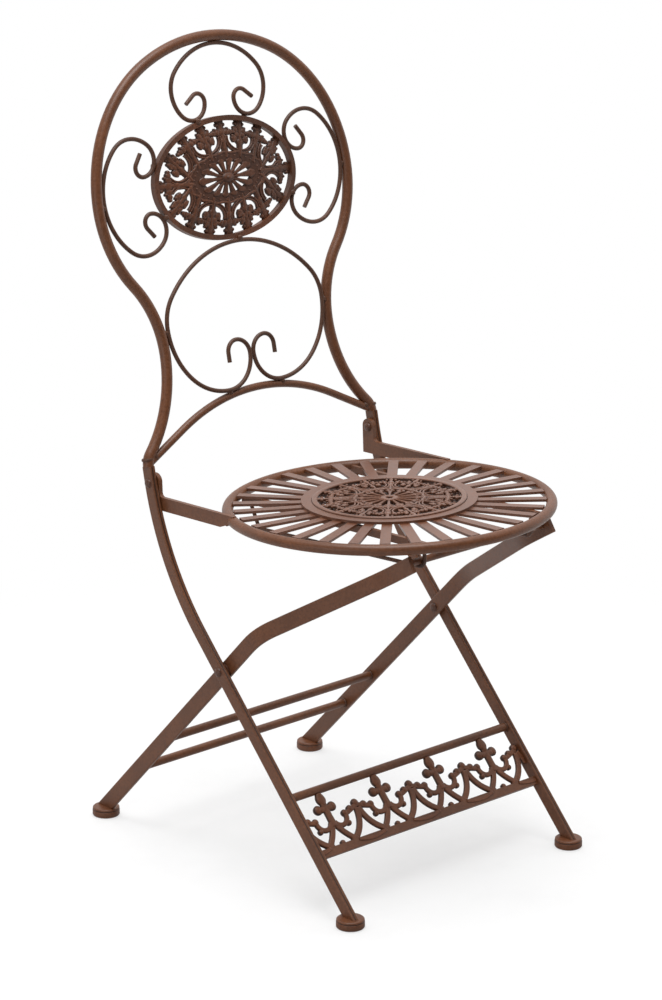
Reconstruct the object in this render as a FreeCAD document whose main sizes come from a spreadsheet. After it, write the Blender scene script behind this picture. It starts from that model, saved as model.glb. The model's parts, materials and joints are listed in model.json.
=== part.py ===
import FreeCAD, Part
import Sketcher
import math
import os

# Folding garden chair of bent tube, bar and wire with openwork castings.
# X runs across the chair, +Y to its back, +Z up. Lengths are millimetres, angles degrees.
# The origin is on the floor under the middle of the whole chair.

doc = FreeCAD.newDocument("garden_chair")
sheet = doc.addObject("Spreadsheet::Sheet", "sizes")

# Each driving size is written once, here. "Rise" is measured up the back from the seat's pivot.
driving_sizes = [
    ("back_tilt", 12.4, "lean of the back from the vertical"),
    ("pivot_height", 447.0, "seat pivot above the floor"),
    ("hoop_tube", 13.0, "hoop tube, outside"),
    ("hoop_rise", 498.0, "top of the hoop's centre line"),
    ("hoop_half_width", 193.0, "centre line at the shoulders"),
    ("shoulder_rise", 321.5, "height of the widest place"),
    ("crown_angle", 25.0, "half the angle of the flatter crown arc"),
    ("waist_half_width", 128.0, "centre line at the waist"),
    ("waist_rise", 142.0, "height of the narrowest place"),
    ("flank_share", 0.53, "share of the flank in the curve from shoulder to waist"),
    ("hip_radius", 20.0, "bend that turns the tube down on to the leg"),
    ("arch_rod", 9.0, "rod between the hips"),
    ("arch_rise", 80.5, "middle of the arch's centre line"),
    ("arch_radius", 255.0, "middle bend of the arch"),
    ("arch_angle", 27.5, "half the turn of that bend; the ends are straight"),
    ("scroll_wire", 5.2, "wire of all scrolls"),
    ("scroll_half_width", 70.2, "half width of the three small scrolls"),
    ("scroll_shoulder_angle", 50.0, "turn of a scroll's middle arc"),
    ("scroll_depth", 86.4, "a small scroll's back to the lowest places of its curls"),
    ("curl_depth", 35.0, "a small scroll's side down to the lowest place of its curl"),
    ("curl_width", 28.0, "its side in to that place"),
    ("curl_inner_radius", 20.0, "rising bend of the curl"),
    ("curl_tail_radius", 10.5, "last bend of the curl"),
    ("curl_tail_angle", 128.0, "turn of the last bend"),
    ("curl_tail", 14.0, "straight end of the curl"),
    ("top_scroll_offset", 11.5, "the top scroll is welded on this far to the right"),
    ("top_scroll_lean", 2.0, "and leans to that side"),
    ("side_scroll_drop", 1.5, "side scrolls' middle below the mean of shoulders and medallion"),
    ("side_scroll_lean", 2.2, "lean of the side scrolls, lower ends inward"),
    ("lower_scroll_forward", 3.0, "lower scroll's wire ahead of the hoop's middle plane"),
    ("lower_scroll_shoulder", 85.0, "from the lower scroll's top down to its widest place"),
    ("lower_curl_radius", 38.0, "outer bend of the lower scroll's curl"),
    ("lower_curl_top_radius", 19.0, "top bend of that curl"),
    ("lower_curl_tail_radius", 14.0, "last bend of that curl"),
    ("lower_curl_tail", 11.0, "straight end of that curl"),
    ("weld_gap", 0.05, "pieces that are welded tangent to each other stand this far apart"),
    ("medallion_rise", 331.0, "middle of the back medallion"),
    ("medallion_half_width", 109.0, "outside of its rim"),
    ("medallion_half_height", 72.6, "outside of its rim"),
    ("rim_width", 6.2, "rim, seen from the front"),
    ("rim_depth", 8.0, "rim, front to back"),
    ("casting_thick", 5.0, "openwork plates of back and front"),
    ("rosette_slots", 12.0, "slots of the back rosette"),
    ("casting_forward", 1.5, "the back casting's middle in front of the middle of its rim"),
    ("medallion_turn", 2.5, "the back casting is turned clockwise in its rim"),
    ("leg_width", 15.5, "front leg bar, fore and aft"),
    ("leg_thick", 8.0, "front leg bar, across the chair"),
    ("leg_round", 2.0, "rounding of the front leg's long edges"),
    ("leg_inset", 9.5, "front legs lie this far inside the seat ring's centre line"),
    ("leg_top_rise", 19.0, "top of the front leg"),
    ("knee_drop", 94.0, "pivot to the corner of the leg's bend"),
    ("knee_radius", 350.0, "bend of the front leg"),
    ("front_foot_reach", 127.6, "front feet ahead of the seat's middle"),
    ("rear_foot_reach", 319.3, "rear feet behind the seat's middle"),
    ("foot_diameter", 33.0, "disc feet"),
    ("foot_height", 11.0, "disc feet"),
    ("foot_round", 2.5, "rounding of the feet's edges"),
    ("stretcher_rod", 10.0, "round rods between the legs"),
    ("front_stretcher_height", 123.0, "front rod above the floor"),
    ("panel_shift", 5.5, "the panel's pattern is off the middle to the left"),
    ("panel_bar_height", 68.5, "middle of the flat bar under the panel"),
    ("panel_bar_width", 10.0, "flat bar under the panel, seen from the front"),
    ("panel_bar_depth", 6.0, "flat bar under the panel, front to back"),
    ("rear_width", 19.0, "rear leg bar, on edge"),
    ("rear_thick", 5.0, "rear leg bar, across the chair"),
    ("rear_round", 1.2, "rounding of the rear leg's long edges"),
    ("crossing_height", 247.0, "pivot where the legs cross"),
    ("bend_reach", 76.0, "crossing to the rear leg's first bend"),
    ("bend_radius", 110.0, "rear leg's bends"),
    ("tip_x", 110.0, "rear leg's top end, from the middle of the chair"),
    ("tip_straight", 36.0, "rod to the rear leg's second bend"),
    ("tip_end", 16.0, "rod to the rear leg's end"),
    ("tip_drop", 4.5, "the rear leg's middle line passes this far under the rod"),
    ("rear_stretcher_upper_height", 129.5, "upper rear rod above the floor"),
    ("rear_stretcher_lower_height", 80.0, "lower rear rod above the floor"),
    ("washer_thick", 3.0, "spacer between the crossed legs"),
    ("washer_diameter", 15.0, "spacer between the crossed legs"),
    ("rivet_shank", 6.0, "pivot rivets"),
    ("rivet_head", 11.0, "pivot rivets"),
    ("rivet_dome", 3.0, "height of a rivet's head"),
    ("rivet_clearance", 0.05, "shank in its hole, all round"),
    ("running_gap", 0.4, "between flat pieces that turn on each other"),
    ("seat_reach", 215.5, "seat's middle to its pivot"),
    ("seat_drop", 14.0, "pivot down to the seat ring's middle"),
    ("seat_pitch", 2.64, "the seat falls this much to the back"),
    ("seat_radius", 186.5, "centre line of the seat ring"),
    ("seat_tube", 13.0, "seat ring tube, outside"),
    ("slat_count", 32.0, "slats round the seat"),
    ("slat_width", 12.0, "flat slats"),
    ("slat_thick", 3.0, "flat slats"),
    ("slat_rise", 2.5, "underside of the slats above the ring's middle"),
    ("slat_lap", 6.0, "slats under the seat medallion"),
    ("inner_ring_width", 12.0, "flat ring round the seat medallion"),
    ("inner_ring_thick", 3.0, "flat ring round the seat medallion"),
    ("seat_medallion_radius", 89.5, "outside of the seat casting"),
    ("seat_medallion_rim", 6.5, "rim of the seat casting"),
    ("seat_medallion_thick", 4.5, "rim of the seat casting, upright"),
    ("seat_openwork_thick", 3.0, "openwork of the seat casting, upright"),
    ("seat_rosette_slots", 16.0, "slots of the seat rosette"),
    ("medallion_gap", 0.4, "seat casting inside its flat ring"),
    ("bracket_thick", 5.0, "seat bracket plates"),
    ("bracket_tab", 19.0, "width of the bracket's upright"),
    ("bracket_top", 10.5, "pivot to the bracket's rounded top"),
    ("bracket_arm", 16.0, "height of the bracket's arm"),
    ("bracket_arm_drop", 32.5, "pivot down to the arm's lower edge"),
    ("bracket_corner", 5.0, "roundings of the bracket's outline"),
    ("chord_x", 87.0, "bars under the slats, from the middle of the chair"),
    ("chord_width", 5.0, "bars under the slats, across the chair"),
    ("chord_height", 9.0, "bars under the slats, upright"),
    ("guide_wire", 4.5, "wire of the slots"),
    ("guide_inset", 3.0, "this wire lies inside the middle of its bar"),
    ("guide_front", 147.0, "front of the slot's wire ahead of the seat's middle"),
    ("guide_rear", 133.0, "rear of the slot's lower run behind the seat's middle"),
    ("guide_rear_top", 147.0, "rear end of the slot's wire, where it meets its bar"),
    ("guide_rear_drop", 35.5, "lower run at the rear, below the ring's middle"),
    ("guide_bend", 8.0, "bends of the slot's wire"),
    ("slide_rod_diameter", 8.0, "rod that runs in the slots"),
    ("slide_rod_drop", 21.0, "rod below the ring's middle"),
    ("slot_gap", 0.5, "rod to the slot's wire"),
]
for row, (alias, value, note) in enumerate(driving_sizes, start=1):
    sheet.set(f"A{row}", note)
    sheet.set(f"B{row}", str(value))
    sheet.setAlias(f"B{row}", alias)
doc.recompute()


def size(alias):
    return float(sheet.get(alias))


# Places that follow from the sizes.

tilt = math.radians(size("back_tilt"))
pitch = math.radians(size("seat_pitch"))
seat_height = size("pivot_height") - size("seat_drop")
leg_x = size("seat_radius") - size("leg_inset")
leg_inner_x = leg_x - size("leg_thick") / 2
rear_x = leg_inner_x - size("washer_thick") - size("running_gap") - size("rear_thick") / 2
bracket_x = leg_inner_x - size("running_gap") - size("bracket_thick") / 2

seat_front = size("seat_radius") * math.cos(pitch) + size("seat_tube") / 2
hoop_back = size("seat_reach") + size("hoop_rise") * math.sin(tilt) + size("hoop_tube") / 2
rear_foot_back = size("rear_foot_reach") + size("foot_diameter") / 2
middle_shift = (seat_front - max(hoop_back, rear_foot_back)) / 2


def at(x, y, z):
    # y counts from the seat's middle; the shift puts the origin under the whole chair's middle
    return FreeCAD.Vector(x, y + middle_shift, z)


def on_back(x, rise):
    return at(x, size("seat_reach") + rise * math.sin(tilt), size("pivot_height") + rise * math.cos(tilt))


def on_seat(x, y, lift):
    # a point of the seat, lift being measured square to it from the ring's middle
    back = y * math.cos(pitch) + lift * math.sin(pitch)
    return at(x, back, seat_height - y * math.sin(pitch) + lift * math.cos(pitch))


back_turn = FreeCAD.Rotation(FreeCAD.Vector(1, 0, 0), 90 - size("back_tilt"))
seat_turn = FreeCAD.Rotation(FreeCAD.Vector(1, 0, 0), -size("seat_pitch"))
back_normal = back_turn.multVec(FreeCAD.Vector(0, 0, 1))
seat_normal = seat_turn.multVec(FreeCAD.Vector(0, 0, 1))
across = FreeCAD.Vector(1, 0, 0)


def unit(vector):
    return vector * (1 / vector.Length)


# Side view of the front leg: a line through the foot and the pivot's line, with the knee between.
knee = on_back(0, -size("knee_drop"))
front_foot = at(0, -size("front_foot_reach"), size("foot_height"))
shin = unit(knee - front_foot)


def on_shin(x, height):
    return FreeCAD.Vector(x, 0, 0) + front_foot + shin * ((height - size("foot_height")) / shin.z)


crossing = on_shin(0, size("crossing_height"))
rear_foot = at(0, size("rear_foot_reach"), size("foot_height"))
rear_shin = unit(crossing - rear_foot)


def on_rear_shin(x, height):
    return FreeCAD.Vector(x, 0, 0) + rear_foot + rear_shin * ((height - size("foot_height")) / rear_shin.z)


slot_front = size("guide_front") - size("guide_wire") - size("slot_gap") - size("slide_rod_diameter") / 2
rod_place = on_seat(0, -slot_front, -size("slide_rod_drop"))

# Paths are tangent arcs, worked out flat as (start, middle, end) and then laid in a plane.


def arc_chain(point, heading, arcs):
    # each arc is a radius and a turn in radians, to the right when positive;
    # with no turn it is a straight run of that length
    pieces = []
    for radius, turn in arcs:
        if not turn:
            end = (point[0] + radius * math.cos(heading), point[1] + radius * math.sin(heading))
            pieces.append((point, end))
            point = end
            continue
        side = math.copysign(radius, turn)
        centre = (point[0] + side * math.sin(heading), point[1] - side * math.cos(heading))

        def turned(angle):
            along = heading - angle
            return (centre[0] - side * math.sin(along), centre[1] + side * math.cos(along))

        pieces.append((point, turned(turn / 2), turned(turn)))
        point = turned(turn)
        heading -= turn
    return pieces


def two_arcs(width, depth, angle):
    # radii of two tangent arcs that turn a right angle in all, the first through the given angle
    sine = math.sin(angle)
    cosine = math.cos(angle)
    spread = sine * cosine - (1 - sine) * (1 - cosine)
    first = (width * cosine - depth * (1 - sine)) / spread
    second = (depth * sine - width * (1 - cosine)) / spread
    return first, second


def with_mirror(pieces):
    # the same arcs on the other side of the middle, from end to end in order
    flipped = [tuple((-x, y) for x, y in reversed(piece)) for piece in reversed(pieces)]
    return flipped + pieces


def points_along(pieces, steps=12):
    # points on the arcs and straight runs, for measuring distances between paths
    points = []
    for piece in pieces:
        corners = [FreeCAD.Vector(x, y, 0) for x, y in piece]
        curve = Part.Arc(*corners) if len(piece) == 3 else Part.LineSegment(*corners)
        span = curve.LastParameter - curve.FirstParameter
        for step in range(steps):
            spot = curve.value(curve.FirstParameter + span * step / steps)
            points.append((spot.x, spot.y))
    return points


def nearest(points, others):
    return min(math.dist(one, other) for one in points for other in others)


def solve(gap_at, low, high):
    # the value between low and high at which a gap closes to nothing; the gap shrinks as it grows
    for _ in range(40):
        value = (low + high) / 2
        if gap_at(value) > 0:
            low = value
        else:
            high = value
    return low


def arc_wire(pieces, place):
    edges = []
    for piece in pieces:
        if len(piece) == 3:
            edges.append(Part.Arc(*(place(x, y) for x, y in piece)).toShape())
        else:
            edges.append(Part.LineSegment(*(place(x, y) for x, y in piece)).toShape())
    return Part.Wire(edges)


def bent_wire(points, radius):
    # straight runs joined by tangent arcs of one radius
    edges = []
    start = points[0]
    for before, corner, after in zip(points, points[1:], points[2:]):
        coming = unit(corner - before)
        going = unit(after - corner)
        half = coming.getAngle(going) / 2
        tangent = radius * math.tan(half)
        middle = corner + unit(going - coming) * (radius / math.cos(half) - radius)
        arc_start = corner - coming * tangent
        arc_end = corner + going * tangent
        edges.append(Part.LineSegment(start, arc_start).toShape())
        edges.append(Part.Arc(arc_start, middle, arc_end).toShape())
        start = arc_end
    edges.append(Part.LineSegment(start, points[-1]).toShape())
    return Part.Wire(edges)


# Makers of document objects. A node is a sub-part that gets a file of its own.

nodes = []


def node(thing, label):
    thing.Label = label
    nodes.append(thing)
    return thing


def plain(kind, name, **bindings):
    thing = doc.addObject(kind, name)
    for prop, expression in bindings.items():
        thing.setExpression(prop, expression)
    return thing


def shape_of(name, shape, placement=None):
    thing = doc.addObject("Part::Feature", name)
    thing.Shape = shape
    if placement:
        thing.Placement = placement
    return thing


def sweep(name, section, wire):
    path = shape_of(name + "_path", wire)
    swept = doc.addObject("Part::Sweep", name)
    swept.Sections = [section]
    swept.Spine = (path, [f"Edge{number}" for number in range(1, len(wire.Edges) + 1)])
    swept.Solid = True
    swept.Frenet = False
    return swept


def start_of(wire):
    edge = wire.OrderedEdges[0]
    return edge.valueAt(edge.FirstParameter), edge.tangentAt(edge.FirstParameter)


def tube(name, wire, diameter):
    point, direction = start_of(wire)
    section = plain("Part::Circle", name + "_section", Radius=f"sizes.{diameter} / 2")
    turn = FreeCAD.Rotation(FreeCAD.Vector(0, 0, 1), direction)
    section.Placement = FreeCAD.Placement(point, turn)
    return sweep(name, section, wire)


def bar(name, wire, width, thick, rounding):
    # a rectangular bar with rounded long edges, its thickness across the chair
    point, direction = start_of(wire)
    deep = unit(direction.cross(across))
    half_width = width / 2
    half_thick = thick / 2
    corners = ((1, 1), (-1, 1), (-1, -1), (1, -1))
    edges = []
    for (sx, sd), (nx, nd) in zip(corners, corners[1:] + corners[:1]):
        centre = point + across * (sx * (half_thick - rounding)) + deep * (sd * (half_width - rounding))
        first = centre + (across * sx if sx == sd else deep * sd) * rounding
        last = centre + (deep * sd if sx == sd else across * sx) * rounding
        middle = centre + (across * sx + deep * sd) * (rounding / math.sqrt(2))
        edges.append(Part.Arc(first, middle, last).toShape())
        next_centre = point + across * (nx * (half_thick - rounding)) + deep * (nd * (half_width - rounding))
        next_first = next_centre + (across * nx if nx == nd else deep * nd) * rounding
        edges.append(Part.LineSegment(last, next_first).toShape())
    section = shape_of(name + "_section", Part.Wire(edges))
    return sweep(name, section, wire)


def cut(name, base, tool):
    result = doc.addObject("Part::Cut", name)
    result.Base = base
    result.Tool = tool
    return result


def mirror(name, source):
    result = doc.addObject("Part::Mirroring", name)
    result.Source = source
    result.Normal = across
    return result


def group(name, members):
    result = doc.addObject("Part::Compound", name)
    result.Links = members
    return result


def extrude(name, face, direction, length):
    # a flat outline thickened equally to both sides
    result = doc.addObject("Part::Extrusion", name)
    result.Base = face
    result.DirMode = "Custom"
    result.Dir = direction
    result.Symmetric = True
    result.Solid = True
    result.setExpression("LengthFwd", length)
    return result


def across_cylinder(name, x, place, radius, length):
    # a cylinder along X from x to x + length
    result = plain("Part::Cylinder", name, Radius=radius, Height=length)
    turn = FreeCAD.Rotation(FreeCAD.Vector(0, 0, 1), across)
    result.Placement = FreeCAD.Placement(FreeCAD.Vector(x, place.y, place.z), turn)
    return result


# Back hoop: crown, shoulder and flank, then the reverse bend of the waist and the hip.

leg_top = size("leg_top_rise")
waist_x = size("waist_half_width")
crown = math.radians(size("crown_angle"))
crown_radius, shoulder_radius = two_arcs(
    size("hoop_half_width"), size("hoop_rise") - size("shoulder_rise"), crown
)
flank_drop = size("shoulder_rise") - size("waist_rise")
flank_turn = 2 * math.atan2(size("hoop_half_width") - waist_x, flank_drop)
flank_radii = flank_drop / math.sin(flank_turn)
flank_radius = flank_radii * size("flank_share")
hip_drop = size("waist_rise") - leg_top
hip_turn = 2 * math.atan2(leg_x - waist_x, hip_drop)
hip_radii = hip_drop / math.sin(hip_turn)
hoop_half = arc_chain(
    (0, size("hoop_rise")),
    0,
    [
        (crown_radius, crown),
        (shoulder_radius, math.pi / 2 - crown),
        (flank_radius, flank_turn),
        (flank_radii - flank_radius, -flank_turn),
        (hip_radii - size("hip_radius"), -hip_turn),
        (size("hip_radius"), hip_turn),
    ],
)
hoop_points = points_along(hoop_half)
back_hoop = node(tube("hoop", arc_wire(with_mirror(hoop_half), on_back), "hoop_tube"), "back_hoop")

# Arch between the hips, coped to the hoop at both ends.

eighth = math.pi / 4
quarter = math.pi / 2
arch_rise = size("arch_rise")
arch_turn = math.radians(size("arch_angle"))
arch_knee = size("arch_radius") * math.sin(arch_turn)
# the rod ends a little inside the hoop's near side, where it is coped
arch_end = leg_x - 0.4 * size("hoop_tube")
arch_run = (arch_end - arch_knee) / math.cos(arch_turn)
arch_half = arc_chain((0, arch_rise), 0, [(size("arch_radius"), arch_turn), (arch_run, 0)])
arch_rod = tube("arch_rod", arc_wire(with_mirror(arch_half), on_back), "arch_rod")
node(cut("arch", arch_rod, back_hoop), "back_arch")

# Small scrolls: one wire form, set against the hoop and the medallion's rim.

wire = size("scroll_wire")
medallion_x = size("medallion_half_width")
medallion_y = size("medallion_half_height")
medallion_rise = size("medallion_rise")
rim_points = [
    (medallion_x * math.cos(angle), medallion_rise + medallion_y * math.sin(angle))
    for angle in (math.radians(step) for step in range(0, 360, 2))
]
rim_reach = wire / 2 + size("weld_gap")
hoop_reach = (size("hoop_tube") + wire) / 2 + size("weld_gap")
shoulder_angle = math.radians(size("scroll_shoulder_angle"))


def small_scroll(scale):
    # half of the form, from the middle of its back, drawn at the given scale
    shoulder = size("scroll_depth") - size("curl_depth")
    first, second = two_arcs(size("scroll_half_width"), shoulder, shoulder_angle)
    third, fourth = two_arcs(size("curl_depth"), size("curl_width"), eighth)
    arcs = [
        (first, shoulder_angle),
        (second, quarter - shoulder_angle),
        (third, eighth),
        (fourth, eighth),
        (size("curl_inner_radius"), quarter),
        (size("curl_tail_radius"), math.radians(size("curl_tail_angle"))),
        (size("curl_tail"), 0),
    ]
    return arc_chain((0, 0), 0, [(scale * length, turn) for length, turn in arcs])


def laid(pieces, place):
    return [tuple(place(x, y) for x, y in piece) for piece in pieces]


def seated_scroll(place):
    # the form is drawn at the scale at which its curls touch the rim
    def gap_at(scale):
        return nearest(points_along(laid(with_mirror(small_scroll(scale)), place)), rim_points) - rim_reach

    scale = solve(gap_at, 0.5, 1.5)
    print("scroll drawn at", round(scale, 3))
    return laid(with_mirror(small_scroll(scale)), place)


scroll_top = size("hoop_rise") - hoop_reach
side_x = size("hoop_half_width") - hoop_reach
side_rise = (size("shoulder_rise") + medallion_rise) / 2 - size("side_scroll_drop")
side_points = [(abs(x), y) for x, y in hoop_points]


def leaning(x, y, angle):
    sine = math.sin(math.radians(angle))
    cosine = math.cos(math.radians(angle))
    return x * cosine + y * sine, y * cosine - x * sine


def top_place(x, y):
    aside, up = leaning(x, y, size("top_scroll_lean"))
    return (aside + size("top_scroll_offset"), scroll_top - top_drop + up)


def side_place(x, y):
    aside, up = leaning(x, y, size("side_scroll_lean"))
    return (side_x - side_draw + up, side_rise - aside)


# The forms back off from the hoop until their wire only touches it.
top_drop = 0.0
side_draw = 0.0
for _ in range(3):
    top_points = points_along(laid(with_mirror(small_scroll(1)), top_place))
    top_drop += max(0.0, hoop_reach - nearest(top_points, hoop_points))
    right_points = points_along(laid(with_mirror(small_scroll(1)), side_place))
    side_draw += max(0.0, hoop_reach - nearest(right_points, side_points))

top_path = seated_scroll(top_place)
side_path = seated_scroll(side_place)
node(tube("top_wire", arc_wire(top_path, on_back), "scroll_wire"), "top_scroll")
right_scroll = node(tube("right_wire", arc_wire(side_path, on_back), "scroll_wire"), "right_scroll")
node(mirror("left_wire", right_scroll), "left_scroll")

# Lower scroll: hangs from the medallion, touches the waist and stands on the arch.

lower_top = medallion_rise - medallion_y - rim_reach
curl_inside = wire / 2 + size("weld_gap")
curl_foot = size("lower_curl_radius") + curl_inside
arch_points = [spot for spot in points_along(arch_half, 60)]
forward = size("lower_scroll_forward")
arch_reach = math.sqrt(((size("arch_rod") + wire) / 2 + size("weld_gap")) ** 2 - forward**2)
waist_reach = math.sqrt(hoop_reach**2 - forward**2)


def lower_scroll(half_width, depth):
    shoulder = size("lower_scroll_shoulder")
    first, second = two_arcs(half_width, shoulder, shoulder_angle)
    third, fourth = two_arcs(depth - shoulder, half_width - curl_foot, eighth)
    return arc_chain(
        (0, lower_top),
        0,
        [
            (first, shoulder_angle),
            (second, quarter - shoulder_angle),
            (third, eighth),
            (fourth, eighth),
            (size("lower_curl_radius"), quarter),
            (size("lower_curl_top_radius"), quarter),
            (size("lower_curl_tail_radius"), quarter),
            (size("lower_curl_tail"), 0),
        ],
    )


full_depth = lower_top - arch_rise


def waist_gap(half_width):
    pieces = lower_scroll(half_width, full_depth)
    return nearest(points_along(pieces[:4], 40), points_along(hoop_half[2:5], 40)) - waist_reach


lower_half_width = solve(waist_gap, waist_x / 2, waist_x + hoop_reach)


def arch_gap(depth):
    pieces = lower_scroll(lower_half_width, depth)
    return nearest(points_along(pieces[2:5], 20), arch_points) - arch_reach


lower_depth = solve(arch_gap, full_depth / 2 + size("lower_scroll_shoulder") / 2, full_depth)
lower_path = with_mirror(lower_scroll(lower_half_width, lower_depth))


def ahead(x, rise):
    return on_back(x, rise) + back_normal * forward


node(tube("lower_wire", arc_wire(lower_path, ahead), "scroll_wire"), "lower_scroll")

# Castings are drawn flat as joined faces. A motif is a row of half widths along its middle line.


def face_of(points):
    corners = [FreeCAD.Vector(x, y, 0) for x, y in points]
    return Part.Face(Part.makePolygon(corners + corners[:1]))


def disc(x, y, radius):
    return Part.Face(Part.Wire(Part.makeCircle(radius, FreeCAD.Vector(x, y, 0))))


def ellipse(half_width, half_height):
    if half_width > half_height:
        curve = Part.Ellipse(FreeCAD.Vector(0, 0, 0), half_width, half_height)
    else:
        curve = Part.Circle(FreeCAD.Vector(0, 0, 0), FreeCAD.Vector(0, 0, 1), half_width)
    return Part.Face(Part.Wire(curve.toShape()))


def joined(faces, window):
    # overlapping flat faces as one face: the window without the openings that they leave in it
    openings = window.cut(faces)
    return max(window.cut(openings.Faces).Faces, key=lambda face: face.Area)


fleur = [
    (0.44, 0.05), (0.60, 0.05), (0.66, 0.058), (0.73, 0.06), (0.765, 0.09), (0.79, 0.155),
    (0.82, 0.225), (0.845, 0.25), (0.865, 0.225), (0.885, 0.145), (0.90, 0.10), (0.93, 0.09), (1.07, 0.09),
]
leaf = [
    (0.44, 0.03), (0.54, 0.035), (0.60, 0.048), (0.635, 0.072), (0.66, 0.105), (0.69, 0.138),
    (0.715, 0.14), (0.74, 0.112), (0.765, 0.095), (0.79, 0.098), (0.815, 0.115), (0.84, 0.12),
    (0.87, 0.105), (0.895, 0.082), (0.92, 0.062), (1.07, 0.062),
]
motif_pairs = 8
rosette_radius = 0.47
slot_start = 0.17
slot_end = 0.33
slot_half_angle = 0.48
scallop_centre = 0.70
scallop_radius = 0.225
scallop_half_width = 0.038
scallop_sweep = 112
scallop_steps = 10


def openwork(half_width, half_height, slots, turned):
    # rosette with slots, a scalloped ring and alternating fleurs and leaves, on a unit circle;
    # on the oval a motif stands square to the rim and is stretched as the oval is there
    def placed(angle, points, middle=scallop_centre):
        angle -= turned
        out_x = half_height * math.cos(angle)
        out_y = half_width * math.sin(angle)
        spread = math.hypot(out_x, out_y)
        length = half_width * half_height / spread
        spots = []
        for along, aside in points:
            beyond = (along - middle) * length
            beside = aside * spread
            x = middle * half_width * math.cos(angle) + (beyond * out_x - beside * out_y) / spread
            y = middle * half_height * math.sin(angle) + (beyond * out_y + beside * out_x) / spread
            spots.append((x, y))
        return spots

    step = math.pi / slots
    slot_faces = []
    for number in range(slots):
        wide = slot_half_angle * step
        slot = [
            (slot_start, -slot_start * wide), (slot_end, -slot_end * wide),
            (slot_end + wide * slot_end, 0), (slot_end, slot_end * wide), (slot_start, slot_start * wide),
        ]
        slot_faces.append(face_of(placed(2 * number * step, slot, (slot_start + slot_end) / 2)))
    rosette = ellipse(half_width * rosette_radius, half_height * rosette_radius).cut(slot_faces)
    angles = [
        math.radians(scallop_sweep * (2 * number / scallop_steps - 1)) for number in range(scallop_steps + 1)
    ]

    def scallop(radius):
        return [(scallop_centre - radius * math.cos(a), radius * math.sin(a)) for a in angles]

    band = scallop(scallop_radius + scallop_half_width) + scallop(scallop_radius - scallop_half_width)[::-1]
    pieces = [rosette]
    for number in range(motif_pairs):
        angle = 2 * math.pi * number / motif_pairs
        between = angle + math.pi / motif_pairs
        for row, turn in ((fleur, angle), (leaf, between)):
            outline = row + [(along, -aside) for along, aside in reversed(row)]
            pieces.append(face_of(placed(turn, outline)))
        pieces.append(face_of(placed(between, band)))
    return pieces


# Back medallion: oval rim and the casting inside it.

rim_inner_x = medallion_x - size("rim_width")
rim_inner_y = medallion_y - size("rim_width")
medallion_place = FreeCAD.Placement(on_back(0, medallion_rise), back_turn)
outer_rim = plain(
    "Part::Ellipse",
    "rim_outside",
    MajorRadius="sizes.medallion_half_width",
    MinorRadius="sizes.medallion_half_height",
)
inner_rim = plain(
    "Part::Ellipse",
    "rim_inside",
    MajorRadius="sizes.medallion_half_width - sizes.rim_width",
    MinorRadius="sizes.medallion_half_height - sizes.rim_width",
)
outer_rim.Placement = medallion_place
inner_rim.Placement = medallion_place
rim_block = extrude("rim_block", outer_rim, back_normal, "sizes.rim_depth")
rim_hole = extrude("rim_hole", inner_rim, back_normal, "sizes.rim_depth")
node(cut("rim", rim_block, rim_hole), "back_medallion_rim")
casting_turn = math.radians(size("medallion_turn"))
casting_pieces = openwork(rim_inner_x, rim_inner_y, int(size("rosette_slots")), casting_turn)
casting = joined(casting_pieces, ellipse(rim_inner_x, rim_inner_y))
casting_place = medallion_place.copy()
casting_place.Base = medallion_place.Base + back_normal * size("casting_forward")
casting_face = shape_of("back_casting_face", casting, casting_place)
node(extrude("back_casting", casting_face, back_normal, "sizes.casting_thick"), "back_medallion")

# Front legs: one bar, bent at the knee, cut level on the foot and drilled for its two rivets.

below_floor = 4 * size("foot_height")
pivot = on_back(0, 0)


def floor_block(name):
    # everything under the top of the feet
    block = plain("Part::Box", name, Height="4 * sizes.foot_height", Length="4 * sizes.seat_radius")
    block.setExpression("Width", "4 * (sizes.rear_foot_reach + sizes.front_foot_reach)")
    block.Placement.Base = FreeCAD.Vector(
        -2 * size("seat_radius"),
        -2 * (size("rear_foot_reach") + size("front_foot_reach")),
        size("foot_height") - below_floor,
    )
    return block


def rivet_hole(name, base, x, place):
    # a hole right through a bar at x, a little wider than the rivet's shank
    drill = across_cylinder(
        name + "_drill", x - size("leg_thick"), place,
        "sizes.rivet_shank / 2 + sizes.rivet_clearance", "2 * sizes.leg_thick",
    )
    return cut(name, base, drill)


leg_points = [on_shin(leg_x, size("foot_height") / 2 - below_floor / 2), knee + across * leg_x]
leg_points.append(on_back(leg_x, leg_top))
leg_wire = bent_wire(leg_points, size("knee_radius"))
leg_bar = bar("leg_bar", leg_wire, size("leg_width"), size("leg_thick"), size("leg_round"))
leg_level = cut("leg_level", leg_bar, floor_block("leg_floor"))
leg_crossing = rivet_hole("leg_crossing", leg_level, leg_x, crossing)
front_leg = node(rivet_hole("leg_right", leg_crossing, leg_x, pivot), "front_leg_right")
node(mirror("leg_left", front_leg), "front_leg_left")

# Feet: turned discs with rounded edges.


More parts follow.
